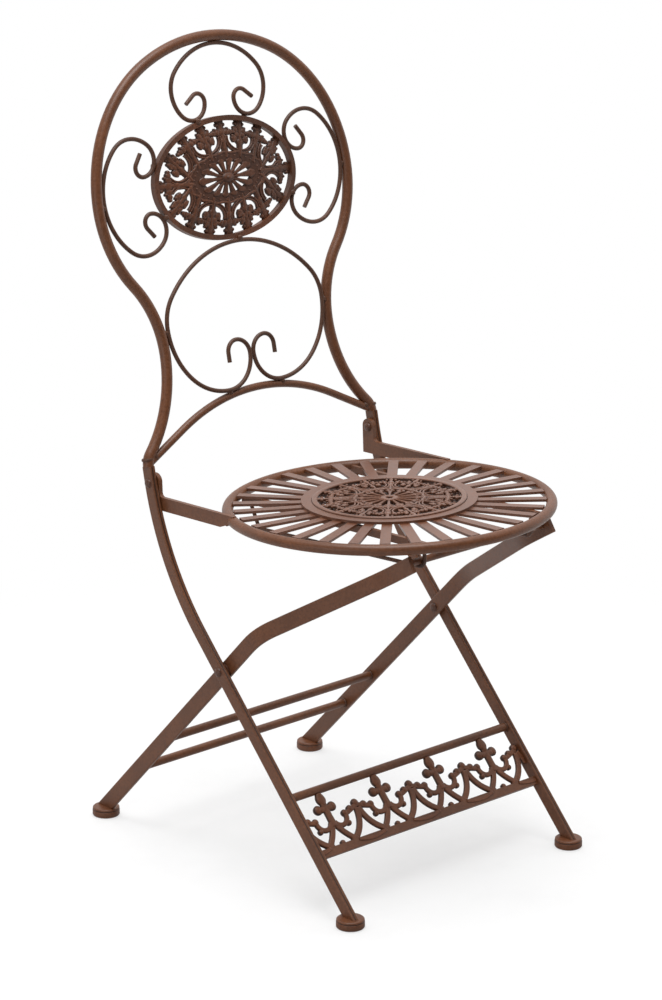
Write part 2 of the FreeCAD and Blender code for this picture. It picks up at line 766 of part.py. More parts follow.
def foot(name, place):
    body = doc.addObject("PartDesign::Body", name + "_body")
    sketch = body.newObject("Sketcher::SketchObject", name + "_profile")
    plane = [item for item in body.Origin.OriginFeatures if item.Role == "XZ_Plane"][0]
    sketch.AttachmentSupport = [(plane, "")]
    sketch.MapMode = "FlatFace"
    corners = [(0, 0), (1, 0), (1, 1), (0, 1)]
    for (x1, y1), (x2, y2) in zip(corners, corners[1:] + corners[:1]):
        sketch.addGeometry(Part.LineSegment(FreeCAD.Vector(x1, y1, 0), FreeCAD.Vector(x2, y2, 0)))
    for line in range(4):
        sketch.addConstraint(Sketcher.Constraint("Coincident", line, 2, (line + 1) % 4, 1))
    for line, way in ((0, "Horizontal"), (1, "Vertical"), (2, "Horizontal"), (3, "Vertical")):
        sketch.addConstraint(Sketcher.Constraint(way, line))
    sketch.addConstraint(Sketcher.Constraint("Coincident", 0, 1, -1, 1))
    radius = sketch.addConstraint(Sketcher.Constraint("DistanceX", 0, 1, 0, 2, 1.0))
    height = sketch.addConstraint(Sketcher.Constraint("DistanceY", 1, 1, 1, 2, 1.0))
    sketch.setExpression(f"Constraints[{radius}]", "sizes.foot_diameter / 2")
    sketch.setExpression(f"Constraints[{height}]", "sizes.foot_height")
    turned = body.newObject("PartDesign::Revolution", name + "_turned")
    turned.Profile = sketch
    turned.ReferenceAxis = (sketch, ["V_Axis"])
    turned.Angle = 360
    doc.recompute()
    rims = [
        f"Edge{number}"
        for number, edge in enumerate(turned.Shape.Edges, start=1)
        if isinstance(edge.Curve, Part.Circle)
    ]
    rounded = body.newObject("PartDesign::Fillet", name + "_rounded")
    rounded.Base = (turned, rims)
    rounded.setExpression("Radius", "sizes.foot_round")
    body.Tip = rounded
    body.Placement.Base = place
    return body


front_foot_right = node(
    foot("front_foot", FreeCAD.Vector(leg_x, front_foot.y, 0)), "front_foot_right"
)
node(mirror("front_foot_mirrored", front_foot_right), "front_foot_left")
rear_foot_right = node(foot("rear_foot", FreeCAD.Vector(rear_x, rear_foot.y, 0)), "rear_foot_right")
node(mirror("rear_foot_mirrored", rear_foot_right), "rear_foot_left")

# Front stretcher, flat bar and the panel of fleurs between them, in the slope of the front legs.

inner_width = "2 * (sizes.seat_radius - sizes.leg_inset - sizes.leg_thick / 2)"
panel_turn = FreeCAD.Rotation(FreeCAD.Vector(0, 0, 1), FreeCAD.Vector(0, -shin.z, shin.y))
stretcher_place = on_shin(0, size("front_stretcher_height"))
bar_place = on_shin(0, size("panel_bar_height"))
node(
    across_cylinder("front_rod", -leg_inner_x, stretcher_place, "sizes.stretcher_rod / 2", inner_width),
    "front_stretcher",
)
panel_bar = plain(
    "Part::Box", "panel_bar",
    Length=inner_width, Width="sizes.panel_bar_width", Height="sizes.panel_bar_depth",
)
bar_corner = FreeCAD.Vector(-leg_inner_x, -size("panel_bar_width") / 2, -size("panel_bar_depth") / 2)
panel_bar.Placement = FreeCAD.Placement(bar_place + panel_turn.multVec(bar_corner), panel_turn)
node(panel_bar, "panel_bottom_bar")

# The panel is drawn from the bar's top edge. Its heights are shares of the room under the rod.
panel_room = (stretcher_place - bar_place).Length
panel_height = panel_room - (size("panel_bar_width") + size("stretcher_rod")) / 2
bay_count = 4
bay = 2 * leg_inner_x / bay_count
fleur_petal = [(0.78, 0.052), (0.84, 0.066), (0.89, 0.077), (0.94, 0.074), (1.0, 0.052)]
fleur_stem = [(0.34, 0.062), (0.40, 0.056), (0.50, 0.051), (0.62, 0.05), (0.80, 0.052)]
lobe = (0.118, 0.73, 0.069)
knob = (0.25, 0.333, 0.039)
bar_bud = (0.0, 0.015, 0.042)
cluster_buds = [(0.0, 0.635, 0.058), (0.127, 0.557, 0.049), (0.236, 0.526, 0.044)]
# curved bands: three points and a width, on one side of a fleur or of a cluster of buds
fleur_bands = [
    ((0.02, 0.38), (0.121, 0.17), (0.262, -0.02), 0.075),
    ((0.035, 0.42), (0.16, 0.322), (0.262, 0.50), 0.06),
]
cluster_bands = [
    ((0.0, 0.60), (0.127, 0.54), (0.25, 0.49), 0.055),
    ((0.02, 0.50), (0.126, 0.185), (0.33, -0.02), 0.08),
]


def thick_arc(first, middle, last, width):
    # a band of even width along an arc through three points
    curve = Part.Arc(*(FreeCAD.Vector(x, y, 0) for x, y in (first, middle, last))).toShape()
    centre = curve.Curve.Center
    edges = []
    ends = []
    for radius in (curve.Curve.Radius + width / 2, curve.Curve.Radius - width / 2):
        spots = [centre + unit(FreeCAD.Vector(x, y, 0) - centre) * radius for x, y in (first, middle, last)]
        edges.append(Part.Arc(*spots).toShape())
        ends.append((spots[0], spots[2]))
    edges.append(Part.LineSegment(ends[0][0], ends[1][0]).toShape())
    edges.append(Part.LineSegment(ends[0][1], ends[1][1]).toShape())
    return Part.Face(Part.Wire(Part.__sortEdges__(edges)))


def panel_faces():
    tall = panel_height
    faces = []

    def add_discs(x, discs):
        for aside, along, radius in discs:
            for side in (-1, 1):
                faces.append(disc(x + side * aside * bay, along * tall, radius * bay))

    def add_bands(x, bands):
        for first, middle, last, width in bands:
            for side in (-1, 1):
                spots = [(x + side * aside * bay, along * tall) for aside, along in (first, middle, last)]
                faces.append(thick_arc(*spots, width * bay))

    start = -leg_inner_x - size("panel_shift")
    for number in range(bay_count + 1):
        x = start + number * bay
        add_discs(x, cluster_buds)
        add_bands(x, cluster_bands)
        x += bay / 2
        for row in (fleur_petal, fleur_stem):
            right = [(x + aside * bay, along * tall) for along, aside in row]
            left = [(x - aside * bay, along * tall) for along, aside in reversed(row)]
            faces.append(face_of(right + left))
        add_discs(x, [lobe, knob, bar_bud])
        add_bands(x, fleur_bands)
    return faces


panel_window = face_of(
    [(-leg_inner_x, 0), (leg_inner_x, 0), (leg_inner_x, panel_height), (-leg_inner_x, panel_height)]
)
panel_flat = joined(panel_faces(), panel_window)
panel_origin = bar_place + shin * (size("panel_bar_width") / 2)
panel_face = shape_of("panel_face", panel_flat, FreeCAD.Placement(panel_origin, panel_turn))
panel_normal = panel_turn.multVec(FreeCAD.Vector(0, 0, 1))
node(extrude("panel_casting", panel_face, panel_normal, "sizes.casting_thick"), "front_panel")

# Rear legs: flat bars that cross inside the front legs and bend in to the sliding rod.

first_bend = crossing + rear_shin * size("bend_reach") + across * rear_x
tip_place = rod_place - FreeCAD.Vector(0, 0, size("tip_drop"))
tip_direction = unit(tip_place - crossing - rear_shin * size("bend_reach"))
second_bend = tip_place - tip_direction * size("tip_straight") + across * size("tip_x")
tip = tip_place + tip_direction * size("tip_end") + across * size("tip_x")
rear_start = on_rear_shin(rear_x, size("foot_height") / 2 - below_floor / 2)
rear_wire = bent_wire([rear_start, first_bend, second_bend, tip], size("bend_radius"))
rear_bar = bar("rear_bar", rear_wire, size("rear_width"), size("rear_thick"), size("rear_round"))
rear_level = cut("rear_level", rear_bar, floor_block("rear_floor"))
rear_leg = node(rivet_hole("rear_right", rear_level, rear_x, crossing), "rear_leg_right")
node(mirror("rear_left", rear_leg), "rear_leg_left")

rear_inner_x = rear_x - size("rear_thick") / 2
rear_inner = "sizes.leg_thick / 2 + sizes.washer_thick + sizes.running_gap + sizes.rear_thick"
rear_width = f"2 * (sizes.seat_radius - sizes.leg_inset - ({rear_inner}))"
for level in ("upper", "lower"):
    place = on_rear_shin(0, size(f"rear_stretcher_{level}_height"))
    rod = across_cylinder(f"rear_rod_{level}", -rear_inner_x, place, "sizes.stretcher_rod / 2", rear_width)
    node(rod, f"rear_stretcher_{level}")

# Rivets and the spacers between the crossed legs.


def rivet(name, grip, place):
    # a turned rivet on the right, its outer head on the front leg; grip is what it holds together.
    # Each head is an arc that ends in a small flat.
    shank = size("rivet_shank") / 2
    head = size("rivet_head") / 2
    dome = size("rivet_dome")
    outer = leg_x + size("leg_thick") / 2
    inner = outer - grip

    def spot(x, radius):
        return FreeCAD.Vector(x, place.y, place.z + radius)

    flat = shank / 4
    rise = 0.75 * dome
    bulge = 0.72 * head
    edges = [
        Part.LineSegment(spot(outer + dome, 0), spot(outer + dome, flat)),
        Part.Arc(spot(outer + dome, flat), spot(outer + rise, bulge), spot(outer, head)),
        Part.LineSegment(spot(outer, head), spot(outer, shank)),
        Part.LineSegment(spot(outer, shank), spot(inner, shank)),
        Part.LineSegment(spot(inner, shank), spot(inner, head)),
        Part.Arc(spot(inner, head), spot(inner - rise, bulge), spot(inner - dome, flat)),
        Part.LineSegment(spot(inner - dome, flat), spot(inner - dome, 0)),
        Part.LineSegment(spot(inner - dome, 0), spot(outer + dome, 0)),
    ]
    profile = shape_of(name + "_profile", Part.Face(Part.Wire([edge.toShape() for edge in edges])))
    turned = doc.addObject("Part::Revolution", name)
    turned.Source = profile
    turned.Base = place
    turned.Axis = across
    turned.Angle = 360
    turned.Solid = True
    return turned


seat_grip = size("leg_thick") + size("bracket_thick") + 2 * size("running_gap")
seat_rivet = rivet("seat_rivet", seat_grip, pivot)
node(group("seat_rivets", [seat_rivet, mirror("seat_rivet_left", seat_rivet)]), "seat_pivot_rivets")
leg_grip = size("leg_thick") + size("washer_thick") + size("rear_thick") + 2 * size("running_gap")
leg_rivet = rivet("leg_rivet", leg_grip, crossing)
node(group("leg_rivets", [leg_rivet, mirror("leg_rivet_left", leg_rivet)]), "leg_pivot_rivets")
washer_x = leg_inner_x - size("washer_thick")
washer_disc = across_cylinder(
    "washer_disc", washer_x, crossing, "sizes.washer_diameter / 2", "sizes.washer_thick"
)
washer = rivet_hole("washer", washer_disc, leg_x, crossing)
node(group("washers", [washer, mirror("washer_left", washer)]), "pivot_washers")

# Seat: ring, slats, flat ring and casting.

seat_place = FreeCAD.Placement(on_seat(0, 0, 0), seat_turn)
ring = plain("Part::Torus", "ring", Radius1="sizes.seat_radius", Radius2="sizes.seat_tube / 2")
ring.Placement = seat_place
seat_ring = node(ring, "seat_ring")

slat_inside = size("seat_medallion_radius") - size("slat_lap")
tube_inside = math.sqrt((size("seat_tube") / 2) ** 2 - size("slat_rise") ** 2)
slat_reach = math.sqrt((size("seat_radius") - tube_inside) ** 2 - (size("slat_width") / 2) ** 2)
slats = []
for number in range(int(size("slat_count"))):
    slat = plain("Part::Box", f"slat_{number}", Width="sizes.slat_width", Height="sizes.slat_thick")
    slat.Length = slat_reach - slat_inside - size("weld_gap")
    turn = FreeCAD.Rotation(FreeCAD.Vector(0, 0, 1), 360 * number / int(size("slat_count")))
    corner = FreeCAD.Vector(slat_inside, -size("slat_width") / 2, size("slat_rise"))
    slat.Placement = seat_place.multiply(FreeCAD.Placement(turn.multVec(corner), turn))
    slats.append(slat)
node(group("slats", slats), "seat_slats")

slat_top = size("slat_rise") + size("slat_thick")
ring_inner = "sizes.seat_medallion_radius + sizes.medallion_gap"
ring_plate = plain(
    "Part::Cylinder", "ring_plate",
    Radius=f"{ring_inner} + sizes.inner_ring_width", Height="sizes.inner_ring_thick",
)
ring_plate.Placement = FreeCAD.Placement(on_seat(0, 0, slat_top), seat_turn)
ring_bore = plain("Part::Cylinder", "ring_bore", Radius=ring_inner, Height="sizes.inner_ring_thick")
ring_bore.Placement = ring_plate.Placement
node(cut("inner_ring", ring_plate, ring_bore), "seat_inner_ring")

casting_radius = size("seat_medallion_radius")
casting_inside = casting_radius - size("seat_medallion_rim")
motif_lap = 0.02 * casting_inside
rim_plate = plain(
    "Part::Cylinder", "seat_rim_plate",
    Radius="sizes.seat_medallion_radius", Height="sizes.seat_medallion_thick",
)
rim_bore = plain(
    "Part::Cylinder", "seat_rim_bore",
    Radius="sizes.seat_medallion_radius - sizes.seat_medallion_rim", Height="sizes.seat_medallion_thick",
)
rim_plate.Placement = ring_plate.Placement
rim_bore.Placement = ring_plate.Placement
seat_rim = cut("seat_rim", rim_plate, rim_bore)
openwork_pieces = openwork(casting_inside, casting_inside, int(size("seat_rosette_slots")), 0)
openwork_window = ellipse(casting_inside + motif_lap, casting_inside + motif_lap)
openwork_lift = slat_top + size("seat_openwork_thick") / 2
openwork_face = shape_of(
    "seat_openwork_face",
    joined(openwork_pieces, openwork_window),
    FreeCAD.Placement(on_seat(0, 0, openwork_lift), seat_turn),
)
seat_openwork = extrude("seat_openwork", openwork_face, seat_normal, "sizes.seat_openwork_thick")
seat_casting = doc.addObject("Part::MultiFuse", "seat_casting")
seat_casting.Shapes = [seat_rim, seat_openwork]
node(seat_casting, "seat_medallion")

# Seat brackets: L plates with a rounded upright on the pivot and an arm coped to the ring.

half_tab = size("bracket_tab") / 2
arm_low = -size("bracket_arm_drop")
arm_high = arm_low + size("bracket_arm")
pivot_y = size("seat_reach") * math.cos(pitch) - size("seat_drop") * math.sin(pitch)
arm_reach = pivot_y - math.sqrt(max(0.0, size("seat_radius") ** 2 - bracket_x**2))
arm_chamfer = size("bracket_arm") / 2


def bracket_point(along, up):
    # along runs forward from the pivot, level with the seat
    pivot_lift = size("seat_reach") * math.sin(pitch) + size("seat_drop") * math.cos(pitch)
    return on_seat(bracket_x, pivot_y - along, pivot_lift + up)


corner = size("bracket_corner")
top = size("bracket_top")
slant = math.sqrt(0.5)
chamfer_start = arm_reach - size("seat_tube") / 2 - 2 * arm_chamfer
outline = [
    Part.LineSegment(bracket_point(-half_tab, arm_low), bracket_point(-half_tab, 0)),
    Part.Arc(bracket_point(-half_tab, 0), bracket_point(0, top), bracket_point(half_tab, 0)),
    Part.LineSegment(bracket_point(half_tab, 0), bracket_point(half_tab, arm_high + corner)),
    Part.Arc(
        bracket_point(half_tab, arm_high + corner),
        bracket_point(half_tab + corner * (1 - slant), arm_high + corner * (1 - slant)),
        bracket_point(half_tab + corner, arm_high),
    ),
    Part.LineSegment(bracket_point(half_tab + corner, arm_high), bracket_point(arm_reach, arm_high)),
    Part.LineSegment(bracket_point(arm_reach, arm_high), bracket_point(arm_reach, arm_low + arm_chamfer)),
    Part.LineSegment(bracket_point(arm_reach, arm_low + arm_chamfer), bracket_point(chamfer_start, arm_low)),
    Part.LineSegment(bracket_point(chamfer_start, arm_low), bracket_point(-half_tab, arm_low)),
]
bracket_face = shape_of("bracket_face", Part.Face(Part.Wire([edge.toShape() for edge in outline])))
bracket_plate = extrude("bracket_plate", bracket_face, across, "sizes.bracket_thick")
bracket_coped = cut("bracket_coped", bracket_plate, seat_ring)
bracket = node(rivet_hole("bracket_right", bracket_coped, bracket_x, pivot), "seat_bracket_right")
node(mirror("bracket_left", bracket), "seat_bracket_left")

# Bars under the slats, and the wire staples under them that make the slots.

ring_inside = size("seat_radius") - size("seat_tube") / 2
chord_outer = size("chord_x") + size("chord_width") / 2
chord_half = math.sqrt(ring_inside**2 - chord_outer**2) - size("weld_gap")
chord = plain("Part::Box", "chord", Length="sizes.chord_width", Height="sizes.chord_height")
chord.Width = 2 * chord_half
chord_low = size("slat_rise") - size("chord_height")
chord.Placement = FreeCAD.Placement(
    on_seat(size("chord_x") - size("chord_width") / 2, -chord_half, chord_low), seat_turn
)
chord_right = node(chord, "seat_chord_right")
node(mirror("chord_left", chord_right), "seat_chord_left")

guide_front_lift = -(
    size("slide_rod_drop") + size("slide_rod_diameter") / 2 + size("slot_gap") + size("guide_wire") / 2
)
guide_front_y = size("guide_wire") / 2 - size("guide_front")
guide_x = size("chord_x") - size("guide_inset")
guide_points = [
    on_seat(guide_x, size("guide_rear_top"), chord_low),
    on_seat(guide_x, size("guide_rear"), -size("guide_rear_drop")),
    on_seat(guide_x, guide_front_y, guide_front_lift),
    on_seat(guide_x, guide_front_y, chord_low),
]
guide = tube("guide", bent_wire(guide_points, size("guide_bend")), "guide_wire")
guide_right = node(guide, "guide_wire_right")
node(mirror("guide_left", guide_right), "guide_wire_left")

# Sliding rod between the rear legs' ends.

rod_end = size("tip_x") - size("rear_thick") / 2 - size("running_gap")
rod_length = "2 * (sizes.tip_x - sizes.rear_thick / 2 - sizes.running_gap)"
node(across_cylinder("rod", -rod_end, rod_place, "sizes.slide_rod_diameter / 2", rod_length), "slide_rod")

doc.recompute()

# Every object is checked before anything is written.

for thing in doc.Objects:
    if {"Invalid", "Error"} & set(thing.State):
        raise RuntimeError(f"{thing.Label} failed: {thing.State}")
for thing in nodes:
    if thing.Shape.isNull() or not thing.Shape.isValid() or not thing.Shape.Solids:
        raise RuntimeError(f"{thing.Label} has no sound solid")

os.makedirs("parts", exist_ok=True)
for thing in nodes:
    thing.Shape.exportStep(f"parts/{thing.Label}.step")
    print(f"{thing.Label}: {len(thing.Shape.Solids)} solids, {thing.Shape.Volume / 1000:.1f} cm3")
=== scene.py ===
import json
import math

import bpy
import numpy as np
from mathutils import Matrix, Vector


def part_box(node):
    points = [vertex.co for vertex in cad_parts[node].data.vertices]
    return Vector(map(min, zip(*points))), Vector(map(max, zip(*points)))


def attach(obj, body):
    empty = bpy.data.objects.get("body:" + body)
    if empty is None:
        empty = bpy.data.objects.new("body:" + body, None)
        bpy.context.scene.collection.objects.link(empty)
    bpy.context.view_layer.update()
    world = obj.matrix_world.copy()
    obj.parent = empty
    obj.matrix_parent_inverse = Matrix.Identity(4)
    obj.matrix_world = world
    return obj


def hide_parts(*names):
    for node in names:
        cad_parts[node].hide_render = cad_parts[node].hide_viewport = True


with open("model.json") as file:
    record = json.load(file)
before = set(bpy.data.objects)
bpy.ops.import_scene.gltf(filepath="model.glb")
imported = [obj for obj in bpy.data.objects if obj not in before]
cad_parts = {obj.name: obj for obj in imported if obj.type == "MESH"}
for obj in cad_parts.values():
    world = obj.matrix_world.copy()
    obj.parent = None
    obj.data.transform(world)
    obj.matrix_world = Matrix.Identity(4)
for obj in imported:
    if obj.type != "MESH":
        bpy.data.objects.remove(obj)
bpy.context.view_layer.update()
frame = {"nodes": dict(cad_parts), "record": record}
scene = bpy.context.scene

# places in metres and leans of the chair's main parts, as the solids have them
chair = {
    "pivot": (0.0, 0.144001, 0.447),
    "backTilt": math.radians(12.4),
    "seatMiddle": (0.0, -0.071499, 0.433),
    "seatPitch": math.radians(2.64),
    "panelFoot": (0.0, -0.141733, 0.072146),
    "shinLean": math.radians(43.1731),
}


def planeOf(origin, lean):
    # origin, right, up and outward vectors; lean turns up from upright towards the chair's back
    up = np.array([0.0, math.sin(lean), math.cos(lean)])
    right = np.array([1.0, 0.0, 0.0])
    return np.array(origin), right, up, np.cross(right, up)


backPlane = planeOf(chair["pivot"], chair["backTilt"])
seatPlane = planeOf(chair["seatMiddle"], math.radians(90) + chair["seatPitch"])
panelPlane = planeOf(chair["panelFoot"], chair["shinLean"])


# surfaces on grids
def lifted(plane, flat, lift):
    # flat points (x, y) in millimetres and their lift go to metres in the chair's frame
    origin, right, up, out = plane
    x, y, z = flat[..., 0:1], flat[..., 1:2], np.asarray(lift)[..., None]
    return origin + (x * right + y * up + z * out) / 1000


def evenTurns(count):
    # turns that part a circle evenly
    return 2 * math.pi * np.arange(count) / count


def unitCircle(count):
    # cosine and sine at even turns
    turn = evenTurns(count)
    return np.stack([np.cos(turn), np.sin(turn)], -1)


def surface(points, relief_shade=1.0, loopAlong=False):
    # rows of closed loops: quads between neighbours, open ends closed by one flat face each;
    # the signed volume of the whole tells whether the faces have to be turned outwards
    rows, columns = points.shape[:2]
    index = np.arange(rows * columns).reshape(rows, columns)
    here = index if loopAlong else index[:-1]
    there = np.roll(index, -1, 0) if loopAlong else index[1:]
    quads = np.stack([here, np.roll(here, -1, 1), np.roll(there, -1, 1), there], -1).reshape(-1, 4)
    caps = [] if loopAlong else [index[0][::-1], index[-1]]
    flat = points.reshape(-1, 3)
    middle = flat - flat.mean(0)
    fans = [np.stack([np.full(columns - 2, cap[0]), cap[1:-1], cap[2:]], -1) for cap in caps]
    triangles = np.concatenate([quads[:, [0, 1, 2]], quads[:, [0, 2, 3]], *fans])
    first, second, third = (middle[triangles[:, k]] for k in range(3))
    if np.sum(first * np.cross(second, third)) < 0:
        quads = quads[:, ::-1]
        caps = [cap[::-1] for cap in caps]
    return flat, quads, caps, np.broadcast_to(relief_shade, (rows, columns)).reshape(-1)


def makePiece(name, parts, material, body, replaced=()):
    # all parts of a piece in one mesh; the mask of painted shade is kept for its paint
    points, faces, smooth, masks, offset = [], [], [], [], 0
    for flat, quads, caps, relief_shade in parts:
        points.append(flat)
        masks.append(relief_shade)
        faces += (quads + offset).tolist() + [(cap + offset).tolist() for cap in caps]
        smooth += [True] * len(quads) + [False] * len(caps)
        offset += len(flat)
    mesh = bpy.data.meshes.new(name)
    mesh.from_pydata(np.concatenate(points).tolist(), [], faces)
    mesh.polygons.foreach_set("use_smooth", smooth)
    mask = mesh.attributes.new("relief_shade", "FLOAT", "POINT")
    mask.data.foreach_set("value", np.concatenate(masks).astype(np.float32))
    mesh.materials.append(material)
    mesh.update()
    piece = bpy.data.objects.new(name, mesh)
    scene.collection.objects.link(piece)
    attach(piece, body)
    if replaced:
        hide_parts(*replaced)
    print("piece", name, "faces", len(faces))


# cast sections, in shares of their height: depth of the underside, a dent along the top, and where the mask of
# painted shade goes from dark to pale, with an even mask underneath; buttons have a narrower foot and stop
# short of a point
castSection = {
    "under": 0.8, "dentHalf": 0.3, "dentAbove": 0.5, "paleFrom": 0.35, "paleSpan": 0.5,
    "plainBelow": -0.1, "underShadeMask": 0.75, "buttonFoot": 0.92, "buttonTop": 0.97,
}


def raised(z, shade=1.0):
    # mask of painted shade on a section, where a low mask paints shade: none at the foot of its upper side, the
    # given shade value near its top, and an even, light painted shade underneath
    pale = np.clip((z - castSection["paleFrom"]) / castSection["paleSpan"], 0, 1)
    return np.where(z < castSection["plainBelow"], castSection["underShadeMask"], shade * pale)


def roundSection(count, boxy):
    # superellipse: x and z are signed powers of cosine and sine; boxy 1 is an ellipse, 0 a rectangle
    cosine, sine = unitCircle(count).T
    return np.sign(cosine) * np.abs(cosine) ** boxy, np.sign(sine) * np.abs(sine) ** boxy


def sectionLift(x, z, dent=0.0):
    # a section's upper half less a bell curve along its middle, and its lower half made shallow
    bell = np.exp(-((x / castSection["dentHalf"]) ** 2)) * (z > castSection["dentAbove"])
    return np.where(z > 0, z - dent * bell, castSection["under"] * z)


def castStrip(plane, path, halfWidth, base, rise, count, boxy, dent=0.0, loopAlong=False, shade=1.0):
    # profile along a path: across the path a superellipse of the given half width, its top raised by
    # rise and dented along the middle
    x, z = roundSection(count, boxy)
    step = np.roll(path, -1, 0) - np.roll(path, 1, 0) if loopAlong else np.gradient(path, axis=0)
    step = step / np.linalg.norm(step, axis=1, keepdims=True)
    aside = np.stack([-step[:, 1], step[:, 0]], -1)
    halfWidth = np.broadcast_to(halfWidth, len(path))
    flat = path[:, None] + aside[:, None] * (halfWidth[:, None] * x)[..., None]
    return surface(lifted(plane, flat, base + rise * sectionLift(x, z, dent)), raised(z, shade), loopAlong)


def dome(plane, centre, radius, base, rise, count, rings, squash=1.0):
    # button: circles whose radius and lift follow a quarter round, flat underneath
    share = np.linspace(0, 1, rings) * math.pi / 2 * castSection["buttonTop"]
    wide = np.concatenate([[castSection["buttonFoot"]], np.cos(share)])
    high = np.concatenate([[-castSection["under"]], np.sin(share)])
    flat = np.array(centre) + wide[:, None, None] * radius * (unitCircle(count) * (1, squash))
    lift = base + rise * np.repeat(high[:, None], count, 1)
    return surface(lifted(plane, flat, lift), raised(high)[:, None])


def smoothed(values, span):
    # running mean over span values, the ends held
    return np.convolve(np.pad(values, span // 2, "edge"), np.ones(span) / span, "valid")


def eased(row, count, span):
    # a row of (place, half width) at even places, its corners rounded by a running mean
    places, wide = np.array(row).T
    along = np.linspace(places[0], places[-1], count)
    return along, smoothed(np.interp(along, places, wide), span)


def arcThrough(first, middle, last, count):
    # points on the circle through three points, which are taken as complex numbers
    a, b, c = (complex(*p) for p in (first, middle, last))
    w = (c - a) / (b - a)
    centre = (b - a) * (w - abs(w) ** 2) / (2j * w.imag) + a
    radius = abs(a - centre)
    start = np.angle(a - centre)
    bend = np.angle((b - centre) / (a - centre))
    sweep = np.angle((c - centre) / (a - centre))
    if bend * sweep < 0 or abs(sweep) < abs(bend):
        sweep += math.copysign(2 * math.pi, bend)
    turn = start + np.linspace(0, 1, count) * sweep
    return np.stack([centre.real + radius * np.cos(turn), centre.imag + radius * np.sin(turn)], -1)


# shader nodes
def addNode(tree, kind, inputs=None, **settings):
    # a socket given as an input is linked, any other value is set
    made = tree.nodes.new(kind)
    for key, value in settings.items():
        setattr(made, key, value)
    for key, value in (inputs or {}).items():
        if isinstance(value, bpy.types.NodeSocket):
            tree.links.new(value, made.inputs[key])
        else:
            made.inputs[key].default_value = value
    return made


def noiseNode(tree, place, scale, detail, roughness):
    # noise value at a place
    inputs = {"Vector": place, "Scale": scale, "Detail": detail, "Roughness": roughness}
    return addNode(tree, "ShaderNodeTexNoise", inputs).outputs["Fac"]


def rangeNode(tree, value, start, stop, low=0.0, high=1.0, kind="LINEAR"):
    # a value from start to stop becomes one from low to high
    inputs = {"Value": value, "From Min": start, "From Max": stop, "To Min": low, "To Max": high}
    return addNode(tree, "ShaderNodeMapRange", inputs, interpolation_type=kind).outputs["Result"]


def mathNode(tree, operation, first, second, clamp=False):
    # one value from two
    inputs = {0: first, 1: second}
    return addNode(tree, "ShaderNodeMath", inputs, operation=operation, use_clamp=clamp).outputs[0]


def mixNode(tree, share, first, second):
    # two colours mixed by share
    inputs = {0: share, 6: first, 7: second}
    return addNode(tree, "ShaderNodeMix", inputs, data_type="RGBA").outputs[2]


# aged paint: scale, detail and roughness of its noises, the noise values between which each effect grows, and
# the colours of dust and of the painted shade in recesses
ageing = {
    "slow": (16.0, 5.0, 0.62), "fine": (310.0, 3.0, 0.6), "grain": (900.0, 2.0, 0.5),
    "patches": (0.36, 0.66), "flecks": (0.50, 0.34), "fleckShare": 0.8, "specks": (0.52, 0.74),
    "swing": (-0.10, 0.14), "bump": 0.5, "index": 1.5,
    "dust": (0.260, 0.140, 0.092, 1), "recessShade": (0.034, 0.012, 0.006, 1),
}


def paintGroup():
    # two colours mixed by slow patches and fine flecks, specks of dust on them, and painted shade in the
    # recesses where the relief mask is low; the fine noise also swings the roughness, and with the grain it
    # makes the height
    group = bpy.data.node_groups.new("agedPaint", "ShaderNodeTree")
    sockets = {
        "INPUT": {
            "Place": "Vector", "Paint": "Color", "Shade": "Color", "Dust": "Color", "Dusty": "Float",
            "Sheen": "Float", "RecessShade": "Color", "ReliefShade": "Float",
        },
        "OUTPUT": {"Colour": "Color", "Roughness": "Float", "Height": "Float"},
    }
    for direction, kinds in sockets.items():
        for name, kind in kinds.items():
            group.interface.new_socket(name=name, in_out=direction, socket_type="NodeSocket" + kind)
    given = group.nodes.new("NodeGroupInput").outputs
    result = group.nodes.new("NodeGroupOutput").inputs
    slow, fine, grain = (noiseNode(group, given["Place"], *ageing[key]) for key in ("slow", "fine", "grain"))
    patches = rangeNode(group, slow, *ageing["patches"])
    flecks = rangeNode(group, fine, *ageing["flecks"], high=ageing["fleckShare"])
    uneven = mathNode(group, "ADD", patches, flecks, clamp=True)
    specks = rangeNode(group, fine, *ageing["specks"])
    dusty = mathNode(group, "MULTIPLY", specks, given["Dusty"])
    painted = mixNode(group, uneven, given["Paint"], given["Shade"])
    dusted = mixNode(group, dusty, painted, given["Dust"])
    swing = rangeNode(group, fine, 0.0, 1.0, *ageing["swing"])
    rough = mathNode(group, "ADD", given["Sheen"], swing)
    height = mathNode(group, "ADD", fine, grain)
    shadedRecess = mixNode(group, given["ReliefShade"], given["RecessShade"], dusted)
    for name, socket in (("Colour", shadedRecess), ("Roughness", rough), ("Height", height)):
        group.links.new(socket, result[name])
    return group


agedPaint = paintGroup()


def paintedMetal(name, finish, carved=False):
    # the shared paint in a finish of two colours, how dusty, roughness and depth of the grain in metres; a
    # carved piece gets painted shade where its mask is low
    material = bpy.data.materials.new(name)
    material.use_nodes = True
    tree = material.node_tree
    shader = tree.nodes["Principled BSDF"].inputs
    relief_shade = 1.0
    if carved:
        relief_shade = addNode(tree, "ShaderNodeAttribute", attribute_name="relief_shade").outputs["Fac"]
    paintInputs = {
        "Place": addNode(tree, "ShaderNodeTexCoord").outputs["Object"], "ReliefShade": relief_shade,
        "Paint": (*finish["paint"], 1), "Shade": (*finish["shade"], 1), "Dust": ageing["dust"],
        "RecessShade": ageing["recessShade"], "Dusty": finish["dusty"], "Sheen": finish["sheen"],
    }
    paint = addNode(tree, "ShaderNodeGroup", paintInputs, node_tree=agedPaint).outputs
    bumpInputs = {"Height": paint["Height"], "Strength": ageing["bump"], "Distance": finish["grain"]}
    bump = addNode(tree, "ShaderNodeBump", bumpInputs)
    tree.links.new(paint["Colour"], shader["Base Color"])
    tree.links.new(paint["Roughness"], shader["Roughness"])
    tree.links.new(bump.outputs["Normal"], shader["Normal"])
    shader["IOR"].default_value = ageing["index"]
    return material


